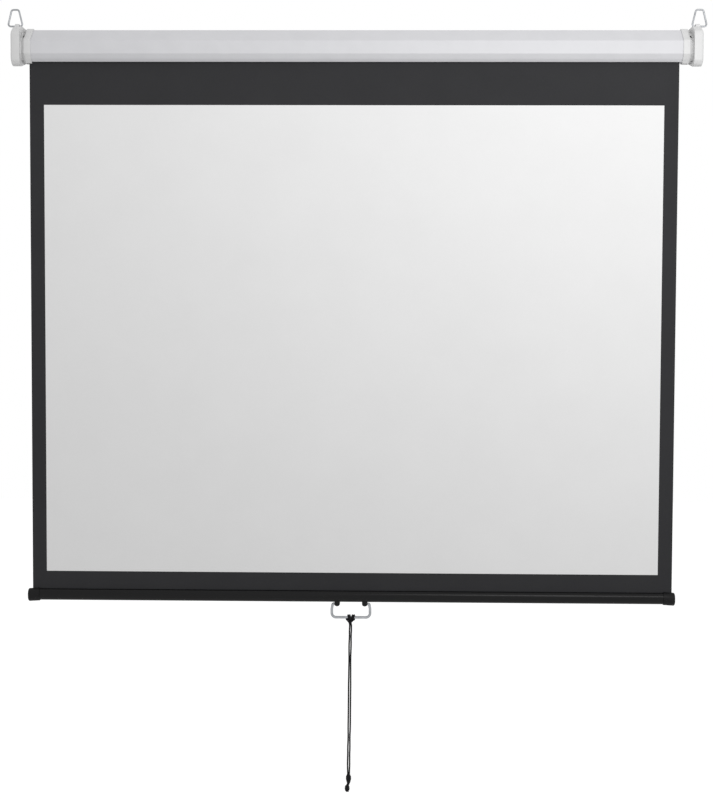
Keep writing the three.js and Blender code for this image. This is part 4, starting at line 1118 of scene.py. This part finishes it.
def bar_sleeve(name, side):
    """A sleeve over one end of the bar, with a crowned outer end."""
    edge = SHEET_RIGHT if side > 0 else SHEET_LEFT
    outer = edge + side * SLEEVE_PAST[side]
    inner = outer - side * SLEEVE_LENGTH
    grow = SLEEVE_WALL + CLEAR
    crown_steps = 8
    rings = [(inner, bar_outline(grow))]
    for k in range(crown_steps + 1):
        a = k / crown_steps * math.pi / 2
        outline = bar_outline(grow - SLEEVE_CROWN_INSET * (1 - math.cos(a)))
        rings.append((outer - side * SLEEVE_CROWN * (1 - math.sin(a)),
                      [p - Vector((0, SLEEVE_DROOP)) for p in outline]))
    body = lofted_x(name, rings, black_nylon)
    bar_end = (BAR_RIGHT if side > 0 else BAR_LEFT) + side * CLEAR
    slot = box_outline(SHEET_Y, BAR_TOP, BAR_MOUTH, 4 * grow)
    carved(body, cut=[
        extruded_x("pocket", bar_outline(CLEAR), inner - side * PAST, bar_end),
        extruded_x("slot", slot, inner - side * PAST, edge + side * CLEAR)])
    eased(body, width_mm=0.3, angle=35)
    return finished(body, black_nylon)


for side, word in SIDES:
    sleeve = bar_sleeve("nylon_bar_sleeve_" + word, side)
    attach(sleeve, "bar")
    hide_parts("bar_sleeve_" + word)


# Handle ears: black nylon lugs fixed under the bar and saddled to its round underside. The
# handle's ends turn in their bores.
EAR_X, EAR_WIDTH, EAR_DROP, EAR_CORNER, EAR_DEPTH, EAR_RISE = 27.5, 11.0, 7.9, 5.0, 11.0, 4.0
PIVOT_DROP = 3.9
PIVOT_Z = BAR_FOOT - PIVOT_DROP
for side, word in SIDES:
    x = SHEET_X + side * EAR_X
    middle = BAR_FOOT + (EAR_RISE - EAR_DROP) / 2
    outline = rounded(box_outline(x, middle, EAR_WIDTH, EAR_DROP + EAR_RISE), EAR_CORNER, segments=12)
    ear = prism("nylon_handle_ear_" + word, outline,
                SHEET_Y - EAR_DEPTH / 2, SHEET_Y + EAR_DEPTH / 2, "Y", black_nylon)
    carved(ear, cut=[
        rod("bore", x - EAR_WIDTH, x + EAR_WIDTH, BAIL_RADIUS + CLEAR, (0, SHEET_Y, PIVOT_Z), "X",
            sides=48),
        extruded_x("saddle", bar_outline(CLEAR), x - EAR_WIDTH, x + EAR_WIDTH)])
    finished(eased(ear, width_mm=0.5, angle=35), black_nylon)
    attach(ear, "bar")
    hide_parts("handle_ear_" + word)

# Handle: one length of 5.4 mm zinc-plated wire, bent to a grip. Both its ends are turned
# inwards, into the ears' bores.
BAIL_END, BAIL_REACH, BAIL_WAIST = 23.0, 36.6, 38.2
BAIL_WAIST_DROP, BAIL_DROP = 10.0, 27.0
BAIL_CORNERS = [0, 3, 14, 11.5, 0]
half = rounded([(BAIL_END, 0), (BAIL_REACH, 0), (BAIL_WAIST, -BAIL_WAIST_DROP),
                (BAIL_WAIST, -BAIL_DROP), (0, -BAIL_DROP)], BAIL_CORNERS, segments=12, is_open=True)
line = half + [Vector((-p.x, p.y)) for p in half[:-1]][::-1]
path = [(SHEET_X + p.x, SHEET_Y, PIVOT_Z + p.y) for p in line]
bail = swept_piece("wire_handle", [path], BAIL_RADIUS, zinc_wire, sides=24)
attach(bail, "handle")
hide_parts("handle_bail")


# Torsion spring: 50 turns of oiled 1.8 mm spring wire inside the tube, from the hub on the
# fixed spindle to the anchor that turns with the tube.
SPRING_MEAN, SPRING_WIRE = 9.8, 1.8
SPRING_TURNS, SPRING_TURN_STEPS = 50, 24
spring_low, spring_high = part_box("torsion_spring")
spring_start = spring_low.x / MM + SPRING_WIRE / 2
spring_end = spring_high.x / MM - SPRING_WIRE / 2


# Oiled spring steel: dark drawn wire whose film of oil lies uneven, glossy here and dull there
def spring_finish():
    made, tree, shader = new_finish("oiled_spring_steel", "#6f7376", 0.38, metallic=1.0)
    film = grain(tree, 5, detail=3)
    tinted(tree, shader, film, "#55585b", "#7c8083")
    roughened(tree, shader, film, 0.28, 0.5)
    bumped(tree, shader, grain(tree, 0.7), 0.02, strength=0.4)
    return made


spring_steps = SPRING_TURNS * SPRING_TURN_STEPS
spring_line = []
for k in range(spring_steps + 1):
    a = math.tau * SPRING_TURNS * k / spring_steps
    spring_line.append((spring_start + (spring_end - spring_start) * k / spring_steps,
                        ROLLER_Y + SPRING_MEAN * math.cos(a), SPRING_MEAN * math.sin(a)))
spring = swept_piece("wound_torsion_spring", [spring_line], SPRING_WIRE / 2, spring_finish(), sides=10)
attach(spring, "case")
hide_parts("torsion_spring")


# Motor and ratchet inside the case: drawn steel tube, spindle and pins, a stamped ratchet
# wheel and pawls, natural nylon plugs. Their solids stay, with these finishes.
def drawn_steel_finish():
    made, tree, shader = new_finish("drawn_steel", "#a9acae", 0.42, metallic=1.0)
    draw = grain(tree, 1.2, detail=3, stretch=(0.02, 1, 1))
    tinted(tree, shader, draw, "#94979a", "#b2b5b7")
    roughened(tree, shader, draw, 0.36, 0.52)
    bumped(tree, shader, draw, 0.02, strength=0.5)
    return made


# Stamped steel: hardened after stamping, so it is darker, with a blotched scale
def stamped_steel_finish():
    made, tree, shader = new_finish("stamped_tempered_steel", "#808386", 0.45, metallic=1.0)
    scale = grain(tree, 2.5, detail=4)
    tinted(tree, shader, scale, "#6c6f72", "#909396")
    roughened(tree, shader, scale, 0.36, 0.55)
    bumped(tree, shader, scale, 0.03, strength=0.5)
    return made


# Pultruded glass fibre, for the hem's rod: pale resin with its strands showing lengthwise
def fibre_rod_finish():
    made, tree, shader = new_finish("pultruded_glass_fibre", "#cfd0c2", 0.5)
    strands = grain(tree, 0.7, detail=3, stretch=(0.02, 1, 1))
    tinted(tree, shader, strands, "#bdbeb0", "#d8d9cc")
    bumped(tree, shader, strands, 0.03, strength=0.5)
    return made


inner_finishes = {
    drawn_steel_finish(): ["roller_tube", "idle_pin", "spindle", "pawl_pin_1", "pawl_pin_2"],
    stamped_steel_finish(): ["ratchet_wheel", "pawl_1", "pawl_2"],
    nylon_finish("natural_nylon", "#d3cfc0", "#dedbce"): ["idle_plug", "ratchet_plug", "spring_anchor"],
    fibre_rod_finish(): ["hem_rod"],
}
for finish, names in inner_finishes.items():
    for name in names:
        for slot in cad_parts[name].material_slots:
            slot.material = finish


# Setting: a pale floor well below the hung screen, a white surround, and one broad soft lamp
# in front of it, up and to the right, as the photograph's shading shows.
FLOOR_Z = -2000.0
FLOOR_HALF = 9000.0
FLOOR_GLOW = 0.55
AMBIENT = 0.66
PLAIN_WHITE = (1, 1, 1, 1)
floor_material, floor_tree, floor_shader = new_finish("pale_floor", "#e4e4e4", 0.9, specular=0.1)


def seen_rays(tree):
    """One for rays that show the setting itself: the camera's, mirrored and passed through."""
    rays = add_node(tree, "ShaderNodeLightPath")
    seen = rays.outputs["Is Camera Ray"]
    for other in ("Is Glossy Ray", "Is Transmission Ray"):
        seen = add_node(tree, "ShaderNodeMath", [seen, rays.outputs[other]], operation="MAXIMUM")
    return seen


glow_strength = add_node(floor_tree, "ShaderNodeMath", [seen_rays(floor_tree), FLOOR_GLOW],
                         operation="MULTIPLY")
glow = add_node(floor_tree, "ShaderNodeEmission", {"Color": PLAIN_WHITE, "Strength": glow_strength})
both = add_node(floor_tree, "ShaderNodeAddShader", [floor_shader, glow])
floor_output = next(n for n in floor_tree.nodes if n.type == "OUTPUT_MATERIAL")
floor_tree.links.new(both.outputs[0], floor_output.inputs["Surface"])
floor = new_piece("floor", [(sx * FLOOR_HALF, sy * FLOOR_HALF, FLOOR_Z)
                            for sx, sy in ((-1, -1), (1, -1), (1, 1), (-1, 1))],
                  [(0, 1, 2, 3)], floor_material)

world = bpy.data.worlds.new("surround")
bpy.context.scene.world = world
world.use_nodes = True
sky = world.node_tree
sky.nodes.clear()
strength = add_node(sky, "ShaderNodeMapRange", {
    "Value": seen_rays(sky), "To Min": AMBIENT, "To Max": 1.0})
surround = add_node(sky, "ShaderNodeBackground", {"Color": PLAIN_WHITE, "Strength": strength})
add_node(sky, "ShaderNodeOutputWorld", {"Surface": surround})

LAMP_PLACE = Vector((0.69, -2.06, 0.02))
LAMP_AIM = Vector((1.28, 0, 2.0))
LAMP_SIZE = 1.0
LAMP_POWER = 28.5
lamp_data = bpy.data.lights.new("soft_lamp", "AREA")
lamp_data.shape = "SQUARE"
lamp_data.size = LAMP_SIZE
lamp_data.energy = LAMP_POWER
lamp = placed("soft_lamp", lamp_data)
lamp.location = LAMP_PLACE
lamp.rotation_euler = (LAMP_AIM - LAMP_PLACE).to_track_quat("-Z", "Y").to_euler()

bpy.context.scene.view_settings.view_transform = "Standard"
